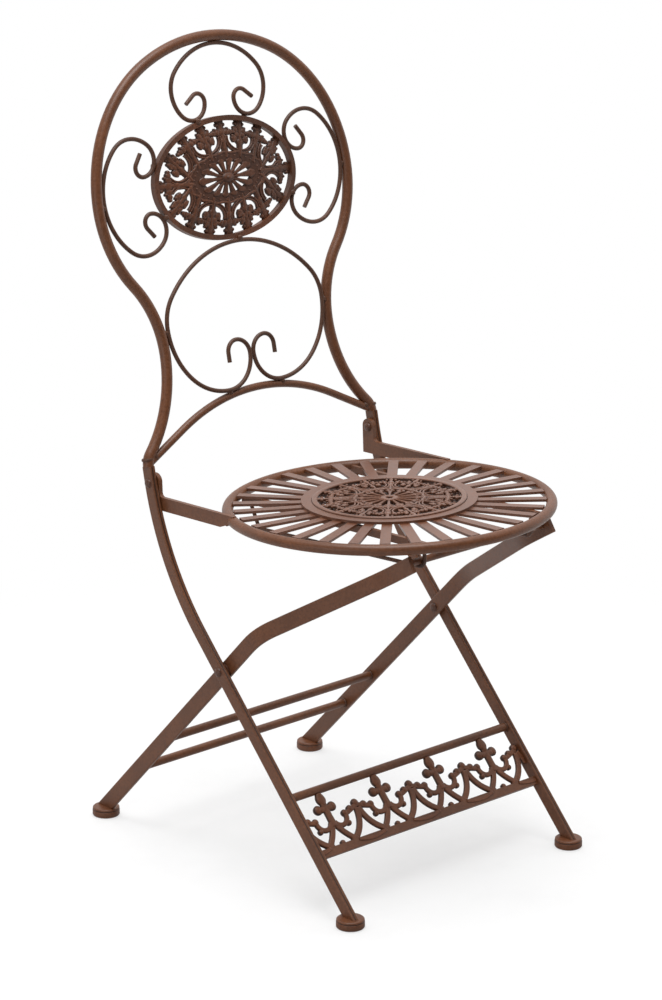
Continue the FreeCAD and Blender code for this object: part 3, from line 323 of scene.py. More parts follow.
# one finish for each slot
finishes = {
    "painted_bar": {
        "paint": (0.170, 0.058, 0.020), "shade": (0.122, 0.041, 0.014),
        "dusty": 0.12, "sheen": 0.42, "grain": 0.00016,
    },
    # the wires' paint is darker than the bars': painted shade on thin wires
    "painted_wire": {
        "paint": (0.106, 0.040, 0.018), "shade": (0.075, 0.029, 0.013),
        "dusty": 0.10, "sheen": 0.50, "grain": 0.00012,
    },
    "painted_casting": {
        "paint": (0.146, 0.047, 0.018), "shade": (0.080, 0.028, 0.012),
        "dusty": 0.16, "sheen": 0.46, "grain": 0.00028,
    },
    # the strips' finish is paler and dustier than the bars': dust on their upward faces, and painted light
    # there as well
    "painted_strip": {
        "paint": (0.178, 0.067, 0.033), "shade": (0.135, 0.051, 0.026),
        "dusty": 0.20, "sheen": 0.35, "grain": 0.00014,
    },
    # the rivets' paint is darker than the bars': painted shade on their domed heads
    "painted_rivet": {
        "paint": (0.115, 0.042, 0.021), "shade": (0.080, 0.030, 0.016),
        "dusty": 0.12, "sheen": 0.40, "grain": 0.00012,
    },
    "painted_feet": {
        "paint": (0.168, 0.054, 0.017), "shade": (0.115, 0.037, 0.012),
        "dusty": 0.12, "sheen": 0.46, "grain": 0.00022,
    },
}
paints = {slot: paintedMetal(slot, finish) for slot, finish in finishes.items()}
record = frame["record"]
nodeSlots = {part["node"]: part["material_slot"] for part in record["subparts"] if "material_slot" in part}
for name, node in frame["nodes"].items():
    node.data.materials.clear()
    node.data.materials.append(paints[nodeSlots.get(name, "painted_bar")])
print("finishes on", len(frame["nodes"]), "nodes")

# openwork castings: depths from the rim inwards, half widths and radii in millimetres; a row is of (depth,
# half width), lobes are (depth, aside, radius), what is called high is a share of the rise, and a petal's start
# and roundFrom count along the four ovals of a casting
openwork = {
    "motifs": 16, "deep": 37.4, "stepDepth": 17.0, "around": 16, "stripAround": 14,
    "bladeRows": 60, "bladeSpan": 3,
    "fleur": [(-2, 7.2), (4, 6.4), (8, 5.6), (14, 5.6), (20, 5.4), (30, 5.0), (39.4, 5.6)],
    "fleurSpine": [(-2, 5.4), (5, 4.4), (9, 3.2), (18, 3.0), (28, 2.6), (36, 3.0), (43, 2.0)],
    "fleurLobes": [
        (13.5, 0.0, 5.8), (13.6, 7.2, 4.3), (13.9, 12.4, 3.7), (14.4, 16.2, 2.6), (23.5, 0.0, 4.4),
        (4.6, 5.2, 2.4), (10.0, 9.6, 2.0),
    ],
    "fleurHigh": 0.95,
    "wing": {
        "depth": 13.2, "half": 17.5, "thick": 5.0, "droop": 0.006, "blunt": 1.02, "taper": 0.012, "rows": 31,
    },
    "leaf": [
        (-2, 7.2), (5, 6.8), (7, 7.0), (8.5, 9.4), (11, 10.4), (14.5, 9.2), (16, 9.2), (18.5, 12.6),
        (21.5, 13.6), (24, 12.2), (26.3, 7.5), (28, 5.0), (39.4, 4.6),
    ],
    "leafSpine": [(-2, 5.0), (6, 4.0), (12, 2.6), (20, 2.4), (28, 2.2), (36, 2.6), (43, 1.6)],
    "leafLobes": [
        (21.6, 8.7, 5.0), (16.6, 4.6, 4.0), (11.8, 6.0, 4.3), (7.0, 0.0, 5.2), (25.2, 0.0, 4.6),
        (24.4, 9.8, 2.3), (18.6, 11.0, 2.3), (14.0, 8.2, 2.2), (8.8, 8.0, 2.2), (3.6, 5.6, 2.2),
    ],
    "lump": {"foot": 0.96, "under": 0.6, "top": 0.97, "around": 14, "rings": 6},
    "scallop": {
        "middle": 21.0, "deep": 15.2, "wide": 21.0, "clear": 3.5, "half": 2.8, "sweep": math.radians(97),
        "rows": 41, "ridge": 0.4, "ridgeAside": 0.6, "ridgeHigh": 0.9,
    },
    "disc": {
        "around": 160, "overlap": 0.8, "waves": 0.025, "edgeHalf": 1.7, "edgeHigh": 0.95,
        "beadShare": 0.65, "beadStart": 2, "beadStep": 5,
    },
    "petal": {
        "start": 0.35, "rows": 44, "span": 5, "roundFrom": 2.05, "tip": 0.01, "high": 0.95, "vein": 0.3,
    },
    "hub": {"high": 1.75, "knob": 0.45, "knobHigh": 1.2, "dimpleWide": 1.2, "dimpleHigh": -0.1},
}


def onOval(oval, turn):
    # point of an oval of two half widths, and the unit vector square to it there
    x, y = oval[0] * np.cos(turn), oval[1] * np.sin(turn)
    outX, outY = oval[1] * np.cos(turn), oval[0] * np.sin(turn)
    spread = np.hypot(outX, outY)
    return x, y, outX / spread, outY / spread


def equalTurns(oval, count, offset, depth=0.0, samples=1441):
    # turns that part the line at a depth inside an oval into stretches of one length, read off its
    # summed length
    turn = np.linspace(0, 2 * math.pi, samples)
    x, y, outX, outY = onOval(oval, turn)
    steps = np.hypot(np.diff(x - depth * outX), np.diff(y - depth * outY))
    length = np.concatenate([[0], np.cumsum(steps)])
    return np.interp((np.arange(count) + offset) / count * length[-1], length, turn)


def discDepth(casting, turn):
    # where the line square to the rim meets the disc's oval: the nearer root of the quadratic
    discWide, discHigh = casting["ovals"][3]
    x, y, outX, outY = onOval(casting["rim"], turn)
    curve = (outX / discWide) ** 2 + (outY / discHigh) ** 2
    slope = x * outX / discWide**2 + y * outY / discHigh**2
    rest = (x / discWide) ** 2 + (y / discHigh) ** 2 - 1
    return (slope - np.sqrt(np.maximum(slope**2 - curve * rest, 0))) / curve


def placed(casting, turn, depth, aside):
    # points a depth in from the rim and aside from that line; depths are stretched so that a motif just
    # reaches the disc
    x, y, outX, outY = onOval(casting["rim"], turn)
    depth = depth * discDepth(casting, turn) / openwork["deep"]
    x, y = x - depth * outX - aside * outY, y - depth * outY + aside * outX
    return np.stack(np.broadcast_arrays(x, y), -1)


def ground(casting, flat):
    # the casting bulges like a shallow dish, highest in the middle
    inside = 1 - np.sum((flat / casting["rim"]) ** 2, axis=-1)
    return casting["base"] + casting["bulge"] * np.clip(inside, 0, 1)


def onGround(casting, flat, lift, mask):
    # surface that stands on the casting's ground
    return surface(lifted(casting["plane"], flat, ground(casting, flat) + lift), mask)


def blade(casting, turn, row, high, shade, narrow=1.0):
    # a row's half widths along a motif's middle line, under a superellipse
    depth, wide = eased(row, openwork["bladeRows"], openwork["bladeSpan"])
    x, z = roundSection(openwork["around"], casting["boxy"])
    flat = placed(casting, turn, depth[:, None], narrow * wide[:, None] * x[None])
    return onGround(casting, flat, high * sectionLift(x, z), raised(z, shade))


def strip(casting, path, half, high, shade, loopAlong=False):
    # superellipse along a path on the casting's ground
    base, count = ground(casting, path)[:, None], openwork["stripAround"]
    return castStrip(casting["plane"], path, half, base, high, count, casting["boxy"], 0, loopAlong, shade)


def lobes(casting, turn, rows, narrow=1.0):
    # lumps in pairs beside the middle line: circles shrinking with the lift of a quarter superellipse
    lump = openwork["lump"]
    cosine, sine = unitCircle(lump["around"]).T
    share = np.linspace(0, lump["top"], lump["rings"]) * math.pi / 2
    wide = np.concatenate([[lump["foot"]], np.cos(share) ** casting["boxy"]])[:, None]
    lift = np.concatenate([[-lump["under"]], np.sin(share) ** casting["boxy"]])
    parts = []
    for depth, aside, radius in rows:
        radius = casting["lobe"] * radius
        for side in (-1, 1) if aside else (1,):
            beside = side * aside * narrow + radius * narrow * wide * sine
            flat = placed(casting, turn, depth + radius * wide * cosine, beside)
            parts.append(onGround(casting, flat, casting["rise"] * lift[:, None], raised(lift)[:, None]))
    return parts


def webOf(casting):
    # rise of the low ground that the motifs stand on, and how pale the painted shade on it is
    return casting["rise"] * casting["webRise"], casting["webShade"]


def fleurParts(casting, turn):
    # low blade and wings, painted dark as shade, whose thickness falls to their ends, and on them a spine and
    # lumps
    wing, webShade = openwork["wing"], webOf(casting)
    aside = np.sin(np.linspace(-1, 1, wing["rows"]) * math.pi / 2) * wing["half"]
    ends = np.sqrt(np.clip(wing["blunt"] - (aside / wing["half"]) ** 4, 0, 1))
    thick = wing["thick"] * ends * (1 - wing["taper"] * np.abs(aside))
    path = placed(casting, turn, wing["depth"] + wing["droop"] * aside**2, aside)
    high = casting["rise"] * openwork["fleurHigh"]
    return [
        blade(casting, turn, openwork["fleur"], *webShade),
        strip(casting, path, thick, *webShade),
        blade(casting, turn, openwork["fleurSpine"], high, 1.0, casting["spine"]),
        *lobes(casting, turn, openwork["fleurLobes"]),
    ]


def leafParts(casting, turns, number):
    # low leaf, painted dark as shade, with a spine and lumps, inside a scallop as wide as the room up to the
    # next stems: an arc of an oval, its middle band painted dark as shade, with a ridge along each edge
    scallop, turn, webShade = openwork["scallop"], turns[number], webOf(casting)
    stems = turns[[number - 1, number, (number + 1) % len(turns)]]
    spots = placed(casting, stems, scallop["middle"], 0.0)
    room = np.linalg.norm(spots[[0, 2]] - spots[1], axis=1).min()
    reach = min(scallop["wide"], room - scallop["clear"])
    narrow = reach / scallop["wide"]
    parts = [
        blade(casting, turn, openwork["leaf"], *webShade, narrow),
        blade(casting, turn, openwork["leafSpine"], casting["rise"], 1.0, casting["spine"]),
        *lobes(casting, turn, openwork["leafLobes"], narrow),
    ]
    bend = np.linspace(-1, 1, scallop["rows"]) * scallop["sweep"]
    ridge = (scallop["ridge"], casting["rise"] * scallop["ridgeHigh"], 1.0)
    aside = scallop["ridgeAside"]
    for inset, share, high, shade in ((0.0, 1.0, *webShade), (-aside, *ridge), (aside, *ridge)):
        inset = inset * scallop["half"]
        depth = scallop["middle"] + (scallop["deep"] + inset) * np.cos(bend)
        path = placed(casting, turn, depth, (reach + inset) * np.sin(bend))
        parts.append(strip(casting, path, scallop["half"] * share, high, shade))
    return parts


def petalParts(casting):
    # petals between the slots, on ovals read between the four given ones: a petal's share of its turn is
    # less beside the slots and falls to nothing as a round at its outer end
    petal, outerEnd = openwork["petal"], casting["petalEnd"]
    slots = equalTurns(np.mean(casting["ovals"][1:3], axis=0), casting["slots"], 0.5)
    ends = np.append(slots, slots[0] + 2 * math.pi)
    reach = np.linspace(petal["start"], outerEnd, petal["rows"])
    wide, high = (np.interp(reach, range(4), column)[:, None] for column in zip(*casting["ovals"]))
    share = smoothed(np.where((reach > 1) & (reach < 2), 1 - casting["slotShare"], 1.0), petal["span"])
    left = (outerEnd + petal["tip"] - reach) / (outerEnd - petal["roundFrom"])
    share = share * np.sqrt(np.clip(left, 0, 1))
    x, z = roundSection(openwork["around"], casting["boxy"])
    lift = petal["high"] * casting["rise"] * sectionLift(x, z, petal["vein"] * casting["vein"])
    parts = []
    for start, stop in zip(ends[:-1], ends[1:]):
        turn = (start + stop) / 2 + (stop - start) / 2 * share[:, None] * x[None]
        flat = np.stack([wide * np.cos(turn), high * np.sin(turn)], -1)
        parts.append(onGround(casting, flat, lift, raised(z)))
    return parts


def discParts(casting):
    # ring of low ground painted dark as shade, with a wavy edge, the petals on it, and beads between the petals
    # and the edge
    disc, rise = openwork["disc"], casting["rise"]
    circle = unitCircle(disc["around"])
    inner, outer = (circle * oval for oval in casting["ovals"][2:])
    half = np.linalg.norm(outer - inner, axis=1) / 2 + disc["overlap"]
    waves = np.cos(openwork["motifs"] * evenTurns(disc["around"]))
    wavy = outer * (1 + disc["waves"] * waves[:, None])
    parts = [
        strip(casting, (inner + outer) / 2, half, *webOf(casting), loopAlong=True),
        strip(casting, wavy, disc["edgeHalf"], rise * disc["edgeHigh"], 1.0, loopAlong=True),
        *petalParts(casting),
    ]
    line = inner * (1 - disc["beadShare"]) + outer * disc["beadShare"]
    for spot in line[disc["beadStart"]::disc["beadStep"]]:
        base = ground(casting, spot)
        parts.append(dome(casting["plane"], spot, casting["bead"], base, rise, count=12, rings=5))
    return parts


def hubParts(casting):
    # a ring round a dimple, or a button with a knob on it
    look, hub, dimple, rise = openwork["hub"], casting["hub"], casting["dimple"], casting["rise"]
    middle = casting["base"] + casting["bulge"]
    squash = casting["rim"][1] / casting["rim"][0]

    def button(radius, base, high, count, rings):
        # dome in the middle, squashed as the rim is
        return dome(casting["plane"], (0, 0), radius, base, rise * high, count, rings, squash)

    if dimple:
        path = unitCircle(openwork["disc"]["around"]) * (hub + dimple) / 2
        ring = strip(casting, path, (hub - dimple) / 2, rise, 1.0, loopAlong=True)
        return [ring, button(dimple * look["dimpleWide"], middle, look["dimpleHigh"], count=24, rings=5)]
    return [
        button(hub, middle, look["high"], count=28, rings=8),
        button(hub * look["knob"], middle + rise, look["knobHigh"], count=20, rings=6),
    ]


def castingParts(casting):
    # fleurs and leaves in turn, square to the rim at even steps along it, running in to the disc
    turns = equalTurns(casting["rim"], openwork["motifs"], 0, openwork["stepDepth"]) - casting["turned"]
    parts = []
    for number, turn in enumerate(turns):
        parts += leafParts(casting, turns, number) if number % 2 else fleurParts(casting, turn)
    return parts + discParts(casting) + hubParts(casting)


# rim is the oval that the motifs start from; ovals are the hub's middle, the slots' inner and outer ends and
# the disc's edge, and petalEnd counts along them; web is how pale the painted shade on the low ground is,
# webRise its height; spine and lobe are shares of their sizes above
medallionRise = 331.0  # from the pivot up the back
medallionMiddle = lifted(backPlane, np.array([0.0, medallionRise]), 0.0)
backCasting = {
    "plane": (medallionMiddle, *backPlane[1:]),
    "rim": (102.8, 66.4), "turned": math.radians(2.5),
    "base": -2.0, "rise": 2.7, "bulge": 7.0, "boxy": 0.78,
    "webShade": 0.5, "webRise": 0.55, "spine": 1.0, "lobe": 1.0,
    "ovals": [(0, 0), (19, 8.5), (36, 19), (58, 29)], "slots": 14, "slotShare": 0.32, "petalEnd": 2.35,
    "vein": 1.0, "bead": 1.5, "hub": 10.0, "dimple": 0,
}
carvedPaint = paintedMetal("carved_casting", finishes["painted_casting"], carved=True)
backParts = castingParts(backCasting)
makePiece("back_casting", backParts, carvedPaint, "frame", ("back_medallion",))

# the seat's casting has a rim, and its finish is paler and dustier than the back's: painted light on its upward
# face
seatCasting = {
    "plane": seatPlane,
    "rim": (83.0, 83.0), "turned": 0.0,
    "base": 5.4, "rise": 4.2, "bulge": 0.0, "boxy": 0.42,
    "webShade": 0.1, "webRise": 0.25, "spine": 0.5, "lobe": 0.70,
    "ovals": [(0, 0), (11, 11), (31, 31), (40, 40)], "slots": 16, "slotShare": 0.60, "petalEnd": 2.7,
    "vein": 0.9, "bead": 1.3, "hub": 10.5, "dimple": 4.0,
    "rimOutside": 89.5, "rimFoot": 5.5, "rimTop": 10.0, "rimBoxy": 0.4, "rimRows": 180, "rimAround": 20,
    "finish": {
        "paint": (0.190, 0.074, 0.038), "shade": (0.140, 0.054, 0.028),
        "dusty": 0.30, "sheen": 0.33, "grain": 0.0002,
    },
}


def seatRim():
    # boxy superellipse along a circle, from the rim's foot to its top
    inside, outside, top = seatCasting["rim"][0], seatCasting["rimOutside"], seatCasting["rimTop"]
    half, rise = (outside - inside) / 2, (top - seatCasting["rimFoot"]) / (1 + castSection["under"])
    path = (inside + outside) / 2 * unitCircle(seatCasting["rimRows"])
    count, boxy = seatCasting["rimAround"], seatCasting["rimBoxy"]
    return castStrip(seatPlane, path, half, top - rise, rise, count, boxy, loopAlong=True)


topLitPaint = paintedMetal("toplit_casting", seatCasting["finish"], carved=True)
seatParts = [*castingParts(seatCasting), seatRim()]
makePiece("seat_casting", seatParts, topLitPaint, "seat", ("seat_medallion",))

# front panel of fleurs, in millimetres, but in rows, bands and buttons x, widths and radii are in bays and y is
# in shares of the panel's height; a band is three points of its arc and its width, a button is (aside, along,
# radius), and what is called high is a share of the rise
panel = {
    "halfWidth": 173.0, "tall": 64.73, "bays": 4, "shift": 5.5, "rise": 2.6, "barFront": 3.0,
    "petal": [
        (0.76, 0.03), (0.80, 0.055), (0.845, 0.076), (0.89, 0.08), (0.94, 0.07), (0.98, 0.05), (1.0, 0.045),
    ],
    "stem": [(0.34, 0.07), (0.40, 0.06), (0.50, 0.053), (0.62, 0.052), (0.80, 0.054)],
    "petalDent": -0.25, "petalHigh": 1.2, "stemDent": -0.15, "stemHigh": 1.1,
    "uprightBoxy": 0.7, "uprightRows": 28, "uprightSpan": 5,
    "collar": {"half": 0.1, "along": 0.70, "wide": 0.045, "high": 1.15, "rows": 16},
    "fleurButtons": [(0.122, 0.715, 0.069), (0.253, 0.325, 0.042), (0.0, 0.015, 0.042)],
    "clusterButtons": [(0.0, 0.635, 0.06), (0.127, 0.565, 0.052), (0.24, 0.522, 0.05)],
    "buttonHigh": 1.2, "buttonInside": 0.5,
    "fleurBands": [
        ((0.02, 0.40), (0.121, 0.17), (0.262, -0.02), 0.082),
        ((0.035, 0.42), (0.16, 0.322), (0.262, 0.50), 0.07),
    ],
    "clusterBands": [
        ((0.0, 0.60), (0.127, 0.54), (0.25, 0.49), 0.07),
        ((0.02, 0.54), (0.126, 0.185), (0.33, -0.02), 0.086),
    ],
    "endBands": [((0.015, 0.55), (0.062, 0.30), (0.064, 0.0), 0.08)],
    "swag": ((-0.245, -0.02), (0.0, -0.08), (0.245, -0.02), 0.05),
    "bandDent": 0.4, "bandBoxy": 0.55, "bandRows": 30, "bandLeast": 5, "fleurBandHigh": 1.02, "swagRise": 1.0,
    "finish": {
        "paint": (0.192, 0.060, 0.019), "shade": (0.132, 0.042, 0.014),
        "dusty": 0.10, "sheen": 0.46, "grain": 0.00024,
    },
}
bay = 2 * panel["halfWidth"] / panel["bays"]


def panelBand(x, row, side, base, rise):
    # dented bar on an arc through three points, left out past the panel's ends
    arc = [(x + side * aside * bay, along * panel["tall"]) for aside, along in row[:3]]
    path = arcThrough(*arc, panel["bandRows"])
    path = path[np.abs(path[:, 0]) < panel["halfWidth"]]
    if len(path) <= panel["bandLeast"]:
        return []
    half, boxy, dent = row[3] * bay / 2, panel["bandBoxy"], panel["bandDent"]
    return [castStrip(panelPlane, path, half, base, rise, count=18, boxy=boxy, dent=dent)]


def panelButtons(x, rows):
    # buttons in pairs beside a motif's middle line, where they lie inside the panel's ends
    parts = []
    for aside, along, radius in rows:
        for side in (-1, 1) if aside else (1,):
            middle = x + side * aside * bay
            if abs(middle) + panel["buttonInside"] * radius * bay < panel["halfWidth"]:
                spot, high = (middle, along * panel["tall"]), panel["rise"] * panel["buttonHigh"]
                parts.append(dome(panelPlane, spot, radius * bay, 0.0, high, count=20, rings=6))
    return parts


def panelCluster(x, last):
    # two bands on each side, one plain band at the panel's right end, buttons, and a swag on the bottom bar
    parts = []
    for side in (-1, 1):
        for row in panel["endBands"] if last and side > 0 else panel["clusterBands"]:
            parts += panelBand(x, row, side, 0.0, panel["rise"])
    parts += panelButtons(x, panel["clusterButtons"])
    return parts + panelBand(x, panel["swag"], 1, panel["barFront"], panel["swagRise"])


def panelFleur(x):
    # bands on each side, petal and stem as rows of half widths along the middle line, buttons and a collar
    parts, tall, rise = [], panel["tall"], panel["rise"]
    boxy, rows, collar = panel["uprightBoxy"], panel["uprightRows"], panel["collar"]
    for side in (-1, 1):
        for row in panel["fleurBands"]:
            parts += panelBand(x, row, side, 0.0, rise * panel["fleurBandHigh"])
    for name in ("petal", "stem"):
        along, wide = eased(panel[name], rows, panel["uprightSpan"])
        path = np.stack([np.full(rows, x), along * tall], -1)
        high, dent = rise * panel[name + "High"], panel[name + "Dent"]
        parts.append(castStrip(panelPlane, path, wide * bay, 0.0, high, count=20, boxy=boxy, dent=dent))
    parts += panelButtons(x, panel["fleurButtons"])
    across = np.linspace(x - collar["half"] * bay, x + collar["half"] * bay, collar["rows"])
    path = np.stack([across, np.full(collar["rows"], collar["along"] * tall)], -1)
    half, high = collar["wide"] * bay, rise * collar["high"]
    parts.append(castStrip(panelPlane, path, half, 0.0, high, count=16, boxy=boxy))
    return parts


def panelParts():
    # clusters at the bays' edges and a fleur in the middle of each bay
    parts = []
    for number in range(panel["bays"] + 1):
        x = -panel["halfWidth"] - panel["shift"] + number * bay
        last = number == panel["bays"]
        parts += panelCluster(x, last)
        if not last:
            parts += panelFleur(x + bay / 2)
    return parts


panelPaint = paintedMetal("panel_casting", panel["finish"], carved=True)
makePiece("panel_casting", panelParts(), panelPaint, "frame", ("front_panel",))

# front legs in millimetres: a bar bent at the knee, with a groove along its front, a little beside the middle
frontLeg = {
    "x": 177.0, "halfWidth": 7.75, "halfThick": 4.0, "round": 2.0, "kneeDrop": 94.0, "kneeRadius": 350.0,
    "top": 19.0, "foot": 11.0, "beside": -0.6, "grooveHalf": 1.35, "grooveFloor": 0.5, "grooveDeep": 1.6,
    "edge": 0.25, "roundPoints": 7, "kneeRows": 28,
}


def legSection():
    # rounded rectangle of sideways and forward places with a notch in front; points close to the ends of each
    # flat side keep its shading flat, and the mask is none on the notch's floor, which paints shade there
    bend, edge, count = frontLeg["round"], frontLeg["edge"], frontLeg["roundPoints"]
    middle = np.array([frontLeg["halfThick"] - bend, frontLeg["halfWidth"] - bend])
    half, floor, deep = frontLeg["grooveHalf"], frontLeg["grooveFloor"], frontLeg["grooveDeep"]
    notch = np.array([(half, 0), (floor, -deep), (-floor, -deep), (-half, 0)])
    notch = notch + (frontLeg["beside"], frontLeg["halfWidth"])
    points, masks = [], []
    for number, signs in enumerate(((1, 1), (-1, 1), (-1, -1), (1, -1))):
        turn = (number + np.linspace(0, 1, count)) * math.pi / 2
        arc = middle * signs + bend * np.stack([np.cos(turn), np.sin(turn)], -1)
        along = np.stack([-np.sin(turn), np.cos(turn)], -1) * edge
        after = arc[-1:] + along[-1:] if number else notch
        points += [arc[:1] - along[:1], arc, after]
        masks += [np.ones(count + 1), np.ones(1) if number else np.array([1.0, 0.0, 0.0, 1.0])]
    return np.concatenate(points), np.concatenate(masks)


def frontLegParts():
    # the section carried up the shin's line, round an arc that touches shin and back lines, and up the back's
    # line; at the foot it is cut level, and a row close to each end keeps the shading straight
    section, mask = legSection()
    shin, back, radius = chair["shinLean"], chair["backTilt"], frontLeg["kneeRadius"] / 1000
    footLevel, edge = frontLeg["foot"] / 1000, frontLeg["edge"] / 1000
    pivot, upBack, upShin = backPlane[0], backPlane[2], panelPlane[2]
    knee = pivot - upBack * frontLeg["kneeDrop"] / 1000
    start = knee - upShin * (radius * math.tan((shin - back) / 2))
    foot = start - upShin * (start[2] - footLevel) / upShin[2]
    top = pivot + upBack * frontLeg["top"] / 1000
    bend = np.linspace(shin, back, frontLeg["kneeRows"])
    forward = np.stack([0 * bend, -np.cos(bend), np.sin(bend)], -1)
    arc = start + radius * (forward[0] - forward)
    middle = np.concatenate([[foot, foot], arc, [top - upBack * edge, top]])
    forward = np.concatenate([[forward[0]] * 2, forward, [forward[-1]] * 2])
    points = middle[:, None] + forward[:, None] * section[None, :, 1:] / 1000
    points[..., 0] += section[:, 0] / 1000
    level = footLevel + np.array([0, edge])[:, None, None]
    points[:2] -= upShin * ((points[:2, :, 2:] - level) / upShin[2])
    return [surface(points + np.array([side * frontLeg["x"] / 1000, 0, 0]), mask) for side in (-1, 1)]


# the groove's floor is painted dark as shade through the mask
groovedPaint = paintedMetal("grooved_bar", finishes["painted_bar"], carved=True)
legNodes = ("front_leg_left", "front_leg_right")
makePiece("front_legs", frontLegParts(), groovedPaint, "frame", legNodes)

# disc feet with a lip: radius and height in millimetres and how free of shadow each ring is
feet = {
    "profile": [
        (14.0, 0.0, 1), (15.7, 0.4, 1), (16.5, 1.6, 1), (16.5, 7.2, 1), (16.3, 7.6, 0.8), (15.4, 7.8, 0),
        (15.4, 8.3, 0), (16.0, 8.5, 0.8), (16.2, 8.9, 1), (16.1, 10.0, 1), (15.3, 10.8, 1), (14.0, 11.0, 1),
    ],
    "around": 64,
    "frame": ("front_foot_left", "front_foot_right"),
    "rear_legs": ("rear_foot_left", "rear_foot_right"),
}
feetPaint = paintedMetal("lipped_feet", finishes["painted_feet"], carved=True)


def footParts(nodes):
    # profile turned about the upright through the middle of each foot's box
    radius, height, free = (np.array(column)[:, None] for column in zip(*feet["profile"]))
    flat = radius[..., None] * unitCircle(feet["around"])[None]
    parts = []
    for node in nodes:
        low, high = (np.array(corner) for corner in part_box(node))
        foot = np.array([(low[0] + high[0]) / 2, (low[1] + high[1]) / 2, low[2]])
        parts.append(surface(lifted((foot, *np.eye(3)), flat, np.repeat(height, feet["around"], 1)), free))
    return parts


for name, body in (("front_feet", "frame"), ("rear_feet", "rear_legs")):
    makePiece(name, footParts(feet[body]), feetPaint, body, feet[body])

# welds of each body: joins are two nodes, how many places and the bead's radius in metres; reach is how near
# two nodes come where they are welded, in metres; rods have a ring round both ends
welds = {
    "frame": {
        "reach": 0.0045, "rods": ["front_stretcher"],
        "joins": [
            ("back_arch", "back_hoop", 2, 0.0050), ("top_scroll", "back_hoop", 1, 0.0034),
            ("top_scroll", "back_medallion_rim", 2, 0.0034), ("left_scroll", "back_hoop", 1, 0.0034),
            ("right_scroll", "back_hoop", 1, 0.0034), ("left_scroll", "back_medallion_rim", 2, 0.0034),
            ("right_scroll", "back_medallion_rim", 2, 0.0034),
            ("lower_scroll", "back_medallion_rim", 1, 0.0036),
            ("lower_scroll", "back_hoop", 2, 0.0036), ("lower_scroll", "back_arch", 2, 0.0036),
        ],
    },
    "seat": {
        "reach": 0.003, "rods": [],
        "joins": [
            ("seat_bracket_left", "seat_ring", 2, 0.0030), ("seat_bracket_right", "seat_ring", 2, 0.0030),
        ],
    },
    "rear_legs": {"rods": ["rear_stretcher_upper", "rear_stretcher_lower"], "joins": []},
}
# unevenness of beads and rings: how high their waves are and how many go round
beadLook = {
    "swell": 0.10, "swellWaves": 3, "dip": 0.08, "dipWaves": 4, "phaseStep": 1.7, "phaseByRadius": 900,
    "around": 18, "rows": 12, "poleGap": 0.1,
}
ringLook = {"waver": 0.15, "waves": 5, "rows": 40, "around": 12, "boxy": 0.9}
# rings round the rods' ends, and collars on the hoop's ends, up the back from the pivot, in millimetres
rodWeld = {"inset": 1.0, "half": 1.6, "bulge": 1.2}
hipCollar = {"rise": 27.0, "radius": 6.2, "half": 1.8, "bulge": 0.8}


def cornersOf(name):
    # a node's corners, each once
    mesh = frame["nodes"][name].data
    flat = np.empty(len(mesh.vertices) * 3)
    mesh.vertices.foreach_get("co", flat)
    return np.unique(flat.reshape(-1, 3).round(6), axis=0)


def meetings(first, second, count, reach, apart=0.02, blockPairs=2000000):
    # corners of two nodes within reach of each other: the middle of the nearest pair, then of the
    # nearest one that is well apart from those already taken
    near, others = cornersOf(first), cornersOf(second)
    near = near[((near > others.min(0) - reach) & (near < others.max(0) + reach)).all(1)]
    if not len(near):
        return []
    others = others[((others > near.min(0) - reach) & (others < near.max(0) + reach)).all(1)]
    if not len(others):
        return []
    gaps, nearest = [], []
    for block in np.array_split(near, 1 + len(near) * len(others) // blockPairs):
        between = np.linalg.norm(block[:, None] - others[None], axis=2)
        gaps.append(between.min(1))
        nearest.append(between.argmin(1))
    gaps = np.concatenate(gaps)
    middles = (near + others[np.concatenate(nearest)]) / 2
    spots = []
    while len(spots) < count and gaps.min() <= reach:
        spots.append(middles[gaps.argmin()])
        gaps = np.where(np.linalg.norm(middles - spots[-1], axis=1) > apart, gaps, np.inf)
    return spots


def weldBead(centre, radius, phase):
    # lump of weld: a sphere whose radius swells and dips by a few slow waves
    around = evenTurns(beadLook["around"])
    polar = np.linspace(beadLook["poleGap"], math.pi - beadLook["poleGap"], beadLook["rows"])[:, None]
    across = np.sin(polar)
    swell = 1 + beadLook["swell"] * np.sin(beadLook["swellWaves"] * around + phase) * across
    swell = swell + beadLook["dip"] * np.cos(beadLook["dipWaves"] * polar + phase)
    unit = np.stack(np.broadcast_arrays(across * np.cos(around), across * np.sin(around), np.cos(polar)), -1)
    return surface(centre + radius * swell[..., None] * unit)


def weldRing(origin, first, second, radius, half, bulge):
    # uneven ring round a rod: a superellipse carried along a circle whose radius wavers
    waves = np.sin(ringLook["waves"] * evenTurns(ringLook["rows"]))
    path = (radius + ringLook["waver"] * waves)[:, None] * unitCircle(ringLook["rows"])
    plane = (np.array(origin), np.array(first), np.array(second), np.cross(first, second))
    return castStrip(plane, path, bulge, 0.0, half, ringLook["around"], ringLook["boxy"], loopAlong=True)


def joinWelds(body):
    # beads where two nodes meet, each with its own waves
    parts = []
    for first, second, count, radius in welds[body]["joins"]:
        spots = meetings(first, second, count, welds[body]["reach"])
        print("welds", first, second, len(spots))
        for number, spot in enumerate(spots):
            phase = beadLook["phaseStep"] * number + radius * beadLook["phaseByRadius"]
            parts.append(weldBead(spot, radius, phase))
    return parts


